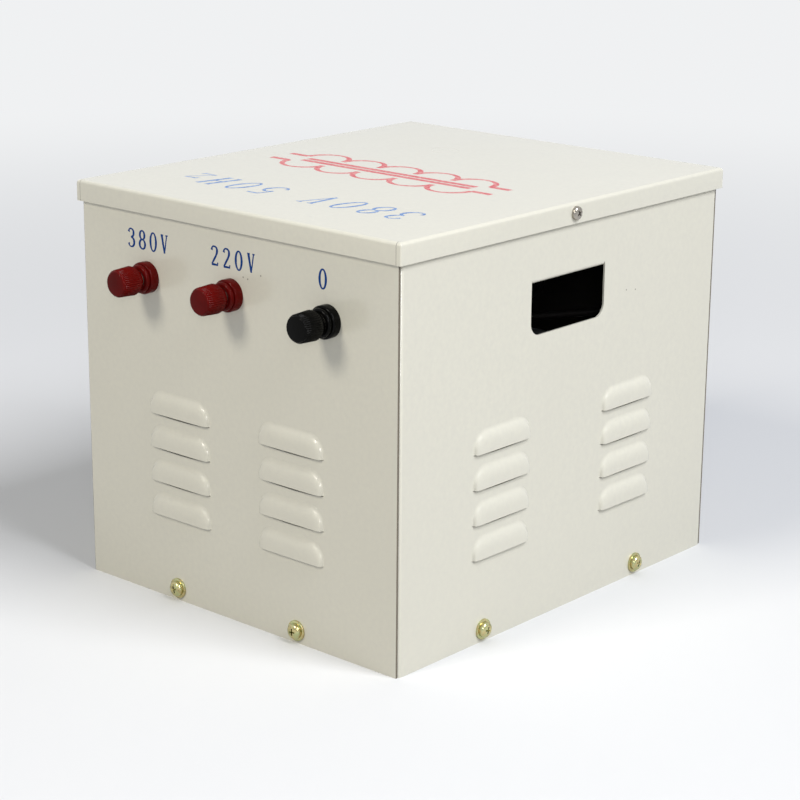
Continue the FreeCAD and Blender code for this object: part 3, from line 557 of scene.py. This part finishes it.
# %% Helpers for round work and for setting pieces
def pull_up(name, sides, steps, filled=True):
    """Pull a circle up through (radius, height) steps.

    A filled one ends in flat faces, the other closes on itself."""
    bpy.ops.object.select_all(action="DESELECT")
    radius, height = steps[0]
    fill = "NGON" if filled else "NOTHING"
    bpy.ops.mesh.primitive_circle_add(vertices=sides, radius=radius * MM, fill_type=fill, location=(0, 0, 0))
    piece = bpy.context.object
    piece.name = name
    mode("EDIT")
    pick_all()
    move(0, 0, height * MM)
    for next_radius, next_height in steps[1:]:
        bpy.ops.mesh.extrude_region_move()
        grow = next_radius / radius
        stretch(grow, grow)
        move(0, 0, (next_height - height) * MM)
        radius, height = next_radius, next_height
    pick_all()
    bpy.ops.mesh.remove_doubles(threshold=MERGE * MM)
    bpy.ops.mesh.normals_make_consistent(inside=False)
    mode("OBJECT")
    return piece


def break_rims(piece, rims, segments=4):
    """Bevel the rims that lie at (radius, height) by the third number."""
    for radius, height, width in rims:
        pick(piece, "EDGE", lambda corner: on_ring(corner, radius, height))
        bevel_edges(width, segments)


def finish_piece(piece, finish, crease=35):
    """Give a piece its finish, and soften every edge that is blunter than the crease angle."""
    only(piece)
    bpy.ops.object.shade_smooth_by_angle(angle=math.radians(crease))
    piece.data.materials.clear()
    piece.data.materials.append(finish)
    return piece


HEADING = {"front": 0, "right": 90, "rear": 180, "left": 270}


def copy_to_face(piece, name, place, face, spin=0.0):
    """A copy with a mesh of its own, turned from the bench to look out of a face, and settled there."""
    only(piece)
    bpy.ops.object.duplicate()
    copy = bpy.context.object
    copy.name = name
    spun = Matrix.Rotation(math.radians(spin), 4, "Z")
    stood = Matrix.Rotation(math.radians(HEADING[face]), 4, "Z") @ Matrix.Rotation(math.radians(90), 4, "X")
    copy.matrix_world = Matrix.Translation(place) @ stood @ spun
    bpy.ops.object.transform_apply(location=True, rotation=True, scale=True)
    return copy


def clear_bench(*drawn):
    for piece in drawn:
        bpy.data.objects.remove(piece)


def join_up(pieces, name):
    """Join like pieces into one, as the frame groups them."""
    bpy.ops.object.select_all(action="DESELECT")
    for piece in pieces:
        piece.select_set(True)
    bpy.context.view_layer.objects.active = pieces[0]
    bpy.ops.object.join()
    pieces[0].name = name
    return pieces[0]


print("faces", HEADING)

# %% [markdown]
# A cap is one moulding. At its foot a plain cone opens out to the grip, whose forty rounded ridges run almost to
# the end, where a bevel cuts them off round a flat face. Six corners make one ridge: one on the crest, two on its
# shoulders, and three in the flute. A relief in the finish could fake them, but they show against the panel in the
# cap's outline. The bore is blind and takes the stud.

# %% The fluted caps
STUD_BORE = 3.05
CAP_FOOT = 9.75
CAP_END = 25.6
RIDGES = 40
CORNERS_PER_RIDGE = 6
RIDGE_HEIGHT = 0.65
CREST_SHARE = (1.0, 0.75, 0.1, 0.0, 0.1, 0.75)
GRIP_FOOT = (8.15, 13.2)
GRIP_END = (7.55, 24.4)
CONE_FOOT, CONE_TOP = 6.9, 12.38
CAP_FACE = 7.2

cap = pull_up("fluted_cap", RIDGES * CORNERS_PER_RIDGE, [
    (STUD_BORE, 23.0), (STUD_BORE, CAP_FOOT), (CONE_FOOT, CAP_FOOT), (GRIP_FOOT[0], CONE_TOP), GRIP_FOOT,
    GRIP_END, (GRIP_END[0], 24.94), (CAP_FACE, CAP_END)])


def crest_share(corner):
    """How much of the ridge's height a corner of the cap is due, by its turn round the axis."""
    turn = math.atan2(corner.y, corner.x) / (2 * math.pi) * RIDGES * CORNERS_PER_RIDGE
    return CREST_SHARE[round(turn) % CORNERS_PER_RIDGE]


for radius, height in (GRIP_FOOT, GRIP_END):
    for share in sorted(set(CREST_SHARE) - {0.0}):
        pick(cap, "VERT", lambda corner: on_ring(corner, radius, height) and crest_share(corner) == share)
        grow = (radius + share * RIDGE_HEIGHT) / radius
        stretch(grow, grow)
        mode("OBJECT")
break_rims(cap, [(CONE_FOOT, CAP_FOOT, 0.25), (CAP_FACE, CAP_END, 0.3)], segments=3)
print("cap corners", len(cap.data.vertices))

# %% [markdown]
# The collar is the insulator that keeps the stud off the sheet. A thick flange with a rounded rim lies against the
# panel, then come a narrow neck and a smaller round-edged collar that the ring is clamped on. A short boss goes
# through the hole in the panel. The stud's thread could be a true helix, but rings a pitch apart look the same from
# the side and close cleanly at both ends.

# %% Collars, rings and studs
COLLAR_TOP = 8.4
BOSS_END = -2.2
BOSS, FLANGE, NECK, SHOULDER = 6.0, 9.6, 7.9, 8.5
FLANGE_TOP, NECK_TOP = 5.5, 6.2
collar = pull_up("insulating_collar", 96, [
    (STUD_BORE, BOSS_END), (BOSS, BOSS_END), (BOSS, 0), (FLANGE, 0), (FLANGE, FLANGE_TOP), (NECK, FLANGE_TOP),
    (NECK, NECK_TOP), (SHOULDER, NECK_TOP), (SHOULDER, COLLAR_TOP), (STUD_BORE, COLLAR_TOP),
    (STUD_BORE, BOSS_END)], filled=False)
break_rims(collar, [(FLANGE, FLANGE_TOP, 1.0), (SHOULDER, COLLAR_TOP, 1.3), (SHOULDER, NECK_TOP, 0.25)])

RING_TOP = 9.7
RING_EDGE = 6.3
ring = pull_up("clamping_ring", 96, [
    (STUD_BORE, COLLAR_TOP), (RING_EDGE, COLLAR_TOP), (RING_EDGE, RING_TOP), (STUD_BORE, RING_TOP),
    (STUD_BORE, COLLAR_TOP)], filled=False)
break_rims(ring, [(RING_EDGE, COLLAR_TOP, 0.35), (RING_EDGE, RING_TOP, 0.35)])

THREAD_PITCH = 1.0
THREAD_CREST = 3.0
THREAD_ROOT = 2.55
STUD_FOOT, STUD_TIP = -21.0, 22.0
thread = [(THREAD_CREST - 0.5, STUD_FOOT), (THREAD_CREST, STUD_FOOT + 0.5)]
height = STUD_FOOT + THREAD_PITCH
while height < STUD_TIP - 1.0:
    thread += [(THREAD_CREST, height - 0.06), (THREAD_ROOT, height + 0.44), (THREAD_CREST, height + 0.94)]
    height += THREAD_PITCH
thread += [(THREAD_CREST, STUD_TIP - 0.6), (THREAD_CREST - 0.6, STUD_TIP)]
stud = pull_up("threaded_stud", 48, thread)
print("corners", [len(p.data.vertices) for p in (collar, ring, stud)])

# %% [markdown]
# Each post sits where the frame has it. Its plane is found from the outer end of the frame's own cap, and every
# cap has stopped at another angle, as hand-tightened caps do. Linked copies would share one mesh, but the rings and
# caps ride on bodies of their own, so each gets its own.

# %% Posts onto the case
CAP_ANGLE = {"front_left": 3.0, "front_middle": 5.5, "front_right": 1.2,
             "rear_left": 7.1, "rear_middle": 2.4, "rear_right": 4.3}
for post, angle in CAP_ANGLE.items():
    face, tap = post.split("_")
    low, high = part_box("post_cap_" + post)
    panel_y = low.y + CAP_END * MM if face == "front" else high.y - CAP_END * MM
    place = Vector(((low.x + high.x) / 2, panel_y, (low.z + high.z) / 2))
    resin, resin_slot = (BLACK_PHENOLIC, "black_moulding") if tap == "right" else (RED_PHENOLIC, "red_moulding")
    for drawn, part, finish, slot, crease, body in (
            (cap, "cap", resin, resin_slot, 62, "cap_" + post),
            (collar, "collar", resin, resin_slot, 35, "case"),
            (ring, "ring", SHADED_DULL_NICKEL, "nickel_plate", 35, "ring_" + post),
            (stud, "stud", BRASS, "brass", 30, "case")):
        piece = copy_to_face(drawn, "binding_" + part + "_" + post, place, face, angle)
        finish_piece(piece, finish, crease)
        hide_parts("post_" + part + "_" + post)
        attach(piece, body)
clear_bench(cap, collar, ring, stud)
print("post planes", round(panel_y / MM, 2))

# %% [markdown]
# The case screws are pan heads with a cross recess that narrows towards its floor. A dome of a few rings makes the
# head, and two tapered wedges at right angles cut the recess out of it, which keeps its corners crisper than pushing
# faces in. The eight screws at the base sit on plain washers, the two at the lid bear on its skirt.

# %% Screws and washers
SHANK_TIP = 0.6
RECESS_TURNS = (20, 110)
RECESS_TAPER = (0.42, 0.6)


def cross_head(name, dome, shank, recess):
    """A pan-head screw: its dome as (radius, height) steps, its shank's radius and end, its recess's reach, width
    and floor."""
    shank_radius, shank_end = shank
    wing, width, floor = recess
    screw = pull_up(name, 64, [(shank_radius - SHANK_TIP, shank_end), (shank_radius, shank_end + SHANK_TIP),
                               (shank_radius, 0), (dome[0][0], 0)] + dome)
    top = dome[-1][1]
    for turn in RECESS_TURNS:
        bpy.ops.mesh.primitive_cube_add(size=1, location=(0, 0, 0))
        wedge = set_size(bpy.context.object, "wedge", (2 * wing * MM, width * MM, 2 * (top - floor) * MM),
                         (0, 0, top * MM))
        pick(wedge, "EDGE", lambda corner: corner.z < top * MM)
        stretch(*RECESS_TAPER)
        mode("OBJECT")
        wedge.rotation_euler = (0, 0, math.radians(turn))
        cut_out(screw, wedge)
    return screw


BASE_DOME = [(4.75, 1.25), (4.62, 1.85), (4.25, 2.4), (3.6, 2.85), (2.7, 3.15), (1.5, 3.28), (0.5, 3.3)]
LID_DOME = [(4.1, 1.0), (3.98, 1.55), (3.65, 2.05), (3.1, 2.42), (2.3, 2.68), (1.3, 2.78), (0.5, 2.8)]
base_screw = cross_head("base_screw", BASE_DOME, shank=(2.5, -10.0), recess=(3.1, 1.15, 1.5))
lid_screw = cross_head("lid_screw", LID_DOME, shank=(2.0, -9.2), recess=(2.7, 1.0, 1.26))

WASHER_BORE, WASHER_RIM, WASHER_THICK = 2.7, 6.25, 1.1
washer = pull_up("plain_washer", 80, [(WASHER_BORE, 0), (WASHER_RIM, 0), (WASHER_RIM, WASHER_THICK),
                                      (WASHER_BORE, WASHER_THICK), (WASHER_BORE, 0)], filled=False)
break_rims(washer, [(WASHER_RIM, WASHER_THICK, 0.2), (WASHER_RIM, 0, 0.1)], segments=2)
print("corners", [len(p.data.vertices) for p in (base_screw, lid_screw, washer)])

# %% [markdown]
# Two screws hold each face of the case to the tray, low down, and one holds each long skirt of the lid. They sit
# where the frame has them. Each stopped at an angle of its own, so every one is turned a little further.

# %% Screws onto the case
BASE_SCREW_HEIGHT = 7.8
END_SPREAD, SIDE_SPREAD = 50, 75
TURN_APART = 37
screw_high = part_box("base_screws")[1]
head_and_washer = (BASE_DOME[-1][1] + WASHER_THICK) * MM
end_seat = screw_high.y - head_and_washer
side_seat = screw_high.x - head_and_washer
BASE_SPOTS = []
for along in (-END_SPREAD * MM, END_SPREAD * MM):
    BASE_SPOTS += [("front", (along, -end_seat)), ("rear", (along, end_seat))]
for along in (-SIDE_SPREAD * MM, SIDE_SPREAD * MM):
    BASE_SPOTS += [("right", (side_seat, along)), ("left", (-side_seat, along))]
screws, washers = [], []
for number, (face, (x, y)) in enumerate(BASE_SPOTS):
    out = Vector((0, -1, 0))
    out.rotate(Matrix.Rotation(math.radians(HEADING[face]), 3, "Z"))
    seat = Vector((x, y, BASE_SCREW_HEIGHT * MM))
    washers.append(copy_to_face(washer, "washer", seat, face))
    screws.append(copy_to_face(base_screw, "screw", seat + out * WASHER_THICK * MM, face, TURN_APART * number))
lid_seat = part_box("lid_screws")[1].x - LID_DOME[-1][1] * MM
lid_low, lid_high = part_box("lid")
skirt_middle = (lid_low.z + lid_high.z) / 2
caught = [copy_to_face(lid_screw, "screw", (side * lid_seat, 0, skirt_middle), face, spin)
          for side, face, spin in ((1, "right", 12), (-1, "left", 65))]
for made, name, finish, slot, node in (
        (screws, "base_cross_screws", YELLOW_ZINC, "yellow_zinc", "base_screws"),
        (washers, "base_plain_washers", YELLOW_ZINC, "yellow_zinc", "base_washers"),
        (caught, "lid_cross_screws", NICKEL, "plated_screw", "lid_screws")):
    piece = finish_piece(join_up(made, name), finish, 32)
    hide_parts(node)
    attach(piece, "case")
clear_bench(base_screw, lid_screw, washer)
print("screws", len(BASE_SPOTS), "seats in mm", round(end_seat / MM, 2), round(side_seat / MM, 2))

# %% [markdown]
# The louvres are what shows most on the panels. Each is a hood pressed out over a slit: a soft slope at its top,
# large rounded shoulders, and a lip that starts from nothing at either end. It could be sculpted from a ball, but a
# press works level by level. So the outline is drawn flat and pulled out in small steps, given as (share of the
# length, share of the rise, millimetres out). The mouth is left open, and the sheet gets its thickness at the end.

# %% One hood
HOOD_HALF = 25.9
HOOD_RISE = 14.2
HOOD_CORNER = 11.0
HOOD_SHEET = 1.0
HOOD_ROOT = -0.9
HOOD_LIP = 0.3
HOOD_STEPS = (
    (1.0, 1.0, 0.0), (0.989, 0.965, 0.04), (0.978, 0.925, 0.16), (0.968, 0.882, 0.40), (0.959, 0.832, 0.80),
    (0.949, 0.777, 1.28), (0.932, 0.71, 1.72), (0.90, 0.63, 2.10), (0.845, 0.53, 2.37), (0.75, 0.41, 2.54),
    (0.58, 0.25, 2.60))


def on_foot(corner):
    """True for a corner on the straight foot of a hood."""
    return abs(corner.y) < NEAR * MM


def hood_outline(name, depth, below=0.0):
    """The flat outline of a hood at the given depth, carried on by that much below its lip, in edit mode."""
    bpy.ops.mesh.primitive_plane_add(size=1, location=(0, 0, 0))
    outline = set_size(bpy.context.object, name, (2 * HOOD_HALF * MM, HOOD_RISE * MM, 1),
                       (0, HOOD_RISE / 2 * MM, depth * MM))
    pick(outline, "VERT", lambda corner: corner.y > 0.5 * HOOD_RISE * MM)
    bpy.ops.mesh.bevel(offset=HOOD_CORNER * MM, segments=11, affect="VERTICES")
    if below:
        pick(outline, "EDGE", on_foot)
        bpy.ops.mesh.extrude_region_move()
        move(0, -below * MM, 0)
    pick_all()
    return outline


hood = hood_outline("hood", HOOD_ROOT)
length, rise, out = 1.0, 1.0, HOOD_ROOT
for next_length, next_rise, next_out in HOOD_STEPS:
    bpy.ops.mesh.extrude_region_move()
    stretch(next_length / length, next_rise / rise)
    move(0, 0, (next_out - out) * MM)
    length, rise, out = next_length, next_rise, next_out
pick(hood, "FACE", on_foot)
bpy.ops.mesh.delete(type="FACE")
pick_all()
bpy.ops.mesh.normals_make_consistent(inside=False)
mode("OBJECT")
if hood.data.polygons[-1].normal.z < 0:
    hood.data.flip_normals()
work(hood, "SOLIDIFY", thickness=HOOD_SHEET * MM, offset=-1)
work(hood, "BEVEL", width=HOOD_LIP * MM, segments=3, angle_limit=math.radians(60))
print("hood faces", len(hood.data.polygons), "stands out mm", HOOD_STEPS[-1][2])

# %% [markdown]
# Every panel is dressed the same way. A copy of the frame's panel is merged, and a punch takes its plain hoods out.
# Into every opening go the drawn hood and a sill, which brings the sheet up to the slit again. The slit is a long
# lens, widest in the middle and closing towards both ends, and it is a little narrower in the lowest row. Panels
# could be drawn from nothing, but a copy keeps all the bends and holes of the frame.

# %% Louvred panels
SLIT_OF_ROW = (1.3, 1.8, 1.9, 1.8)
ROW_FOOT = 52.6
ROW_PITCH = 21.25
PUNCH_DEPTH = 9.0
SILL = 2.4
SILL_SINK = 0.004
SHEET = 1.2
COLUMN_OF_FACE = {"front": 46, "rear": 46, "right": 60.5, "left": 60.5}


def on_case(face, across, up):
    """The point of a face that lies that many millimetres across and up."""
    point = Vector((across * MM, -(end_seat if face in ("front", "rear") else side_seat), up * MM))
    point.rotate(Matrix.Rotation(math.radians(HEADING[face]), 3, "Z"))
    return point


def sill(slit):
    """The strip of sheet below a hood, with the lower half of a lens cut out of its upper edge."""
    bpy.ops.mesh.primitive_cube_add(size=1, location=(0, 0, 0))
    strip = set_size(bpy.context.object, "sill", (2 * HOOD_HALF * MM, SILL * MM, SHEET * MM),
                     (0, -SILL / 2 * MM, -(SHEET / 2 + SILL_SINK) * MM))
    bpy.ops.mesh.primitive_cylinder_add(vertices=96, radius=1, depth=PUNCH_DEPTH * MM, location=(0, 0, 0))
    cut_out(strip, set_size(bpy.context.object, "lens", (HOOD_HALF * MM, slit * MM, 1)))
    return strip


punch = hood_outline("punch", -PUNCH_DEPTH / 2, SILL)
bpy.ops.mesh.extrude_region_move()
move(0, 0, PUNCH_DEPTH * MM)
pick_all()
bpy.ops.mesh.normals_make_consistent(inside=False)
mode("OBJECT")
sills = [sill(slit) for slit in SLIT_OF_ROW]
for node, face in (("front_panel", "front"), ("rear_panel", "rear"),
                   ("side_panel_right", "right"), ("side_panel_left", "left")):
    panel = bpy.data.objects.new("louvred_" + node, nodes[node].data.copy())
    bpy.context.collection.objects.link(panel)
    only(panel)
    mode("EDIT")
    pick_all()
    bpy.ops.mesh.remove_doubles(threshold=MERGE * MM)
    mode("OBJECT")
    tools, hoods = [], []
    for column in (-COLUMN_OF_FACE[face], COLUMN_OF_FACE[face]):
        for row, strip in enumerate(sills):
            spot = on_case(face, column, ROW_FOOT + ROW_PITCH * row)
            tools.append(copy_to_face(punch, "punch", spot, face))
            hoods += [copy_to_face(hood, "hood", spot, face), copy_to_face(strip, "sill", spot, face)]
    cut_out(panel, join_up(tools, "punches"))
    panel = join_up([panel] + hoods, "louvred_" + node)
    finish_piece(panel, IVORY, 30)
    work(panel, "WEIGHTED_NORMAL", keep_sharp=True)
    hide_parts(node)
    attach(panel, "case")
    print(panel.name, "faces", len(panel.data.polygons))
clear_bench(hood, punch, *sills)

# %% [markdown]
# The lid is folded from one sheet: four skirts turned down over the body, their corners closed and dressed smooth.
# It could be drawn skirt by skirt, but an open box with round edges that is given its thickness inwards comes to the
# same. Its top is drawn a hair under the frame's, so that the printing on it ends flush with the frame.

# %% The lid
PRINT_ROOM = 0.04
BEND = 2.2
CORNER = 0.8
HOLE = 2.2
lid_size = lid_high - lid_low
lid_middle = (lid_high + lid_low) / 2
bpy.ops.mesh.primitive_cube_add(size=1, location=(0, 0, 0))
cover = set_size(bpy.context.object, "folded_lid", (lid_size.x, lid_size.y, lid_size.z - PRINT_ROOM * MM),
                 (lid_middle.x, lid_middle.y, lid_middle.z - PRINT_ROOM * MM / 2))


def on_mitre(corner):
    """True for a corner of the mesh that lies as far from a long skirt as from a short one."""
    return abs((lid_high.x - abs(corner.x)) - (lid_high.y - abs(corner.y))) < NEAR * MM


pick(cover, "EDGE", lambda corner: corner.z > lid_middle.z)
bevel_edges(BEND, 8)
pick(cover, "EDGE", on_mitre, lambda first, second: abs(first.z - second.z) > NEAR * MM)
bevel_edges(CORNER, 3)
pick(cover, "FACE", lambda corner: corner.z < lid_low.z + NEAR * MM)
bpy.ops.mesh.delete(type="FACE")
mode("OBJECT")
work(cover, "SOLIDIFY", thickness=SHEET * MM, offset=-1)
for side in (-1, 1):
    bpy.ops.mesh.primitive_cylinder_add(vertices=32, radius=HOLE * MM, depth=10 * MM,
                                        location=(side * lid_high.x, 0, skirt_middle),
                                        rotation=(0, math.radians(90), 0))
    cut_out(cover, bpy.context.object)
finish_piece(cover, IVORY, 30)
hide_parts("lid")
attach(cover, "case")
print("lid faces", len(cover.data.polygons))

# %% [markdown]
# The marks are screen-printed, in a narrow serifed hand with thick uprights and thin turns. A ready typeface could
# be set, but none at hand is so narrow with such strokes. So each letter is written with a round pen whose width
# changes along the stroke, in a box 6.3 wide and 12 high. The strokes are then pressed almost flat, to the two
# hundredths of a millimetre that ink stands proud.

# %% Pen strokes
THICK, MEDIUM, THIN, SERIF = 0.96, 0.74, 0.50, 0.42
LETTERS = {
    "0": [("oval", (3.15, 6.0, 2.5, 5.75))],
    "8": [("oval", (3.15, 8.95, 2.1, 2.75)), ("oval", (3.15, 3.2, 2.5, 2.95))],
    "3": [("curve", [(0.8, 9.5, THICK), (1.5, 11.2, THIN), (3.1, 11.7, THIN), (4.8, 10.7, MEDIUM), (5.2, 9.0, THICK),
                     (4.5, 7.2, MEDIUM), (2.8, 6.4, THIN)]),
          ("curve", [(2.8, 6.4, THIN), (4.8, 5.6, MEDIUM), (5.65, 3.3, THICK), (4.9, 1.2, MEDIUM), (3.0, 0.3, THIN),
                     (1.3, 0.9, THIN), (0.65, 2.5, THICK)])],
    "2": [("curve", [(0.75, 9.2, THICK), (1.4, 11.1, THIN), (3.1, 11.7, THIN), (4.9, 10.8, MEDIUM),
                     (5.35, 9.0, THICK), (4.6, 6.6, MEDIUM), (2.6, 3.4, MEDIUM), (0.75, 0.6, THIN)]),
          ("line", [(0.6, 0.5, MEDIUM), (5.6, 0.5, MEDIUM), (5.95, 2.1, SERIF)])],
    "5": [("line", [(5.5, 11.5, MEDIUM), (1.5, 11.5, MEDIUM), (1.15, 6.2, THIN)]),
          ("curve", [(1.15, 6.2, THIN), (2.2, 7.1, THIN), (3.6, 7.2, MEDIUM), (5.2, 6.0, MEDIUM), (5.65, 3.8, THICK),
                     (4.9, 1.3, MEDIUM), (3.0, 0.3, THIN), (1.25, 0.9, THIN), (0.65, 2.3, THICK)])],
    "V": [("line", [(1.1, 11.6, THICK), (3.35, 0.4, MEDIUM)]), ("line", [(3.35, 0.4, THIN), (5.4, 11.6, THIN)]),
          ("line", [(0.1, 11.7, SERIF), (2.3, 11.7, SERIF)]), ("line", [(4.4, 11.7, SERIF), (6.5, 11.7, SERIF)])],
    "H": [("line", [(1.2, 0.3, THICK), (1.2, 11.7, THICK)]), ("line", [(5.1, 0.3, THICK), (5.1, 11.7, THICK)]),
          ("line", [(1.2, 6.1, THIN), (5.1, 6.1, THIN)])]
         + [("line", [(x - 1.0, y, SERIF), (x + 1.0, y, SERIF)]) for x in (1.2, 5.1) for y in (0.3, 11.7)],
    "z": [("line", [(0.9, 6.4, THIN), (0.9, 7.6, MEDIUM), (5.1, 7.6, MEDIUM), (0.9, 0.4, MEDIUM), (5.2, 0.4, MEDIUM),
                    (5.4, 1.8, THIN)])],
}
ROUND_REACH = 0.5523
INK_PROUD = 0.02


def lay_stroke(curve, kind, points, slant, weight):
    """One stroke of the pen: straight from point to point, a smooth curve through them, an oval or half of one."""
    stroke = curve.splines.new("BEZIER")
    if kind in ("oval", "hump"):
        x, y, half_wide, half_high = points
        rounds = {"oval": [(0, 1), (1, 0), (0, -1), (-1, 0)], "hump": [(-1, 0), (0, 1), (1, 0)]}[kind]
        stroke.bezier_points.add(len(rounds) - 1)
        stroke.use_cyclic_u = kind == "oval"
        for spot, (right, up) in zip(stroke.bezier_points, rounds):
            centre = Vector((x + right * half_wide, y + up * half_high, 0))
            reach = Vector((up * half_wide, -right * half_high, 0)) * ROUND_REACH
            spot.handle_left_type = spot.handle_right_type = "FREE"
            for part, at in (("co", centre), ("handle_left", centre - reach), ("handle_right", centre + reach)):
                setattr(spot, part, (at.x + slant * at.y, at.y, 0))
            spot.radius = (THICK if right else THIN) * weight
    else:
        stroke.bezier_points.add(len(points) - 1)
        for spot, (x, y, width) in zip(stroke.bezier_points, points):
            spot.co = (x + slant * y, y, 0)
            spot.radius = width * weight
            spot.handle_left_type = spot.handle_right_type = "AUTO" if kind == "curve" else "VECTOR"


def write_marks(name, strokes, place, turn, scale, finish, slant=0.0, weight=1.0):
    """Write strokes as one print and lay it on the case: turn takes the sheet of paper to its surface."""
    curve = bpy.data.curves.new(name, "CURVE")
    curve.dimensions = "3D"
    curve.bevel_depth = 1.0
    curve.bevel_resolution = 2
    curve.resolution_u = 8
    curve.use_fill_caps = True
    for kind, points in strokes:
        lay_stroke(curve, kind, points, slant, weight)
    marks = bpy.data.objects.new(name, curve)
    bpy.context.collection.objects.link(marks)
    only(marks)
    bpy.ops.object.convert(target="MESH")
    marks = bpy.context.object
    flat = INK_PROUD * MM / (THICK * weight)
    pressed = Matrix.Diagonal((scale * MM, scale * MM, flat, 1))
    marks.matrix_world = Matrix.Translation(place) @ turn @ pressed
    bpy.ops.object.transform_apply(location=True, rotation=True, scale=True)
    finish_piece(marks, finish, 60)
    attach(marks, "case")


def word(text, pitch):
    """The strokes of a word, one letter after another."""
    strokes = []
    for number, letter in enumerate(text):
        shift = number * pitch
        for kind, points in LETTERS.get(letter, []):
            if kind == "oval":
                strokes.append((kind, (points[0] + shift,) + points[1:]))
            else:
                strokes.append((kind, [(x + shift, y, width) for x, y, width in points]))
    return strokes


print("letters drawn", sorted(LETTERS))

# %% [markdown]
# The voltage of each tap stands above its post in navy ink. The prints on the lid have faded in the sun: a line of
# plain figures in blue, 380V and 50Hz, written to be read from the far side, and a drawing in red of what is inside,
# two windings with the core's two bars between them. They could be painted into the enamel's finish, but as thin
# pieces of their own they keep sharp edges.

# %% Printed marks
def ink(name, colour, worn, low, high):
    """Printing ink that lets the enamel through where it has worn thin."""
    finish = Finish(name, colour, 0.42)
    finish.shader.inputs["Specular IOR Level"].default_value = 0.15
    finish.colour(finish.blend(finish.band(finish.noise(0.0022, 4), low, high), colour, worn))
    return finish.material


NAVY_INK = ink("navy ink", (0, 56, 124), (34, 92, 152), 0.66, 0.9)
FADED_BLUE = ink("faded blue ink", (84, 126, 190), (170, 190, 214), 0.4, 0.8)
FADED_RED = ink("faded red ink", (206, 88, 96), (228, 172, 168), 0.4, 0.8)

UPRIGHT = Matrix.Rotation(math.radians(90), 4, "X")
FROM_BEHIND = Matrix.Rotation(math.radians(180), 4, "Z")
MARK_FOOT = 214.9
MARK_SCALE = 0.95
MARKS = (("mark_380", "380V", -87.6, 10.0), ("mark_220", "220V", -16.8, 10.35), ("mark_0", "0", 68.4, 0))
for name, text, left_edge, pitch in MARKS:
    write_marks(name, word(text, pitch), (left_edge * MM, -end_seat - INK_PROUD / 2 * MM, MARK_FOOT * MM),
                UPRIGHT, MARK_SCALE, NAVY_INK)

LID_TOP = lid_high.z - (PRINT_ROOM - INK_PROUD / 2) * MM
RATING_PITCH, RATING_SCALE = 10.6, 2.0
write_marks("lid_rating", word("380V 50Hz", RATING_PITCH), (93 * MM, -85 * MM, LID_TOP), FROM_BEHIND,
            RATING_SCALE, FADED_BLUE, slant=0.22, weight=0.72)
print("prints", [mark[0] for mark in MARKS] + ["lid_rating"])

# %% [markdown]
# The sign on the lid is the one that circuit drawings use: a row of humps for each winding with a lead at either
# end, and two straight bars for the core. Each hump could be a curve through many points, but half an oval is exact.

# %% The winding sign
HUMP = 15.0
HUMPS = 5
CORE_GAP = 9.0
BAR_HALF = 4.6
winding = []
for side in (-1, 1):
    for hump in range(HUMPS):
        winding.append(("hump", ((hump - HUMPS // 2) * 2 * HUMP, side * CORE_GAP, HUMP, side * HUMP)))
    for end in (-1, 1):
        winding.append(("line", [(end * x * HUMP, side * CORE_GAP, THICK) for x in (HUMPS, HUMPS + 1)]))
    winding.append(("line", [(x * HUMP, side * CORE_GAP / 3, THICK) for x in (-BAR_HALF, BAR_HALF)]))
write_marks("lid_winding_sign", winding, (-9 * MM, -8 * MM, LID_TOP), FROM_BEHIND, 1.0, FADED_RED, weight=2.3)
print("strokes in the sign", len(winding))
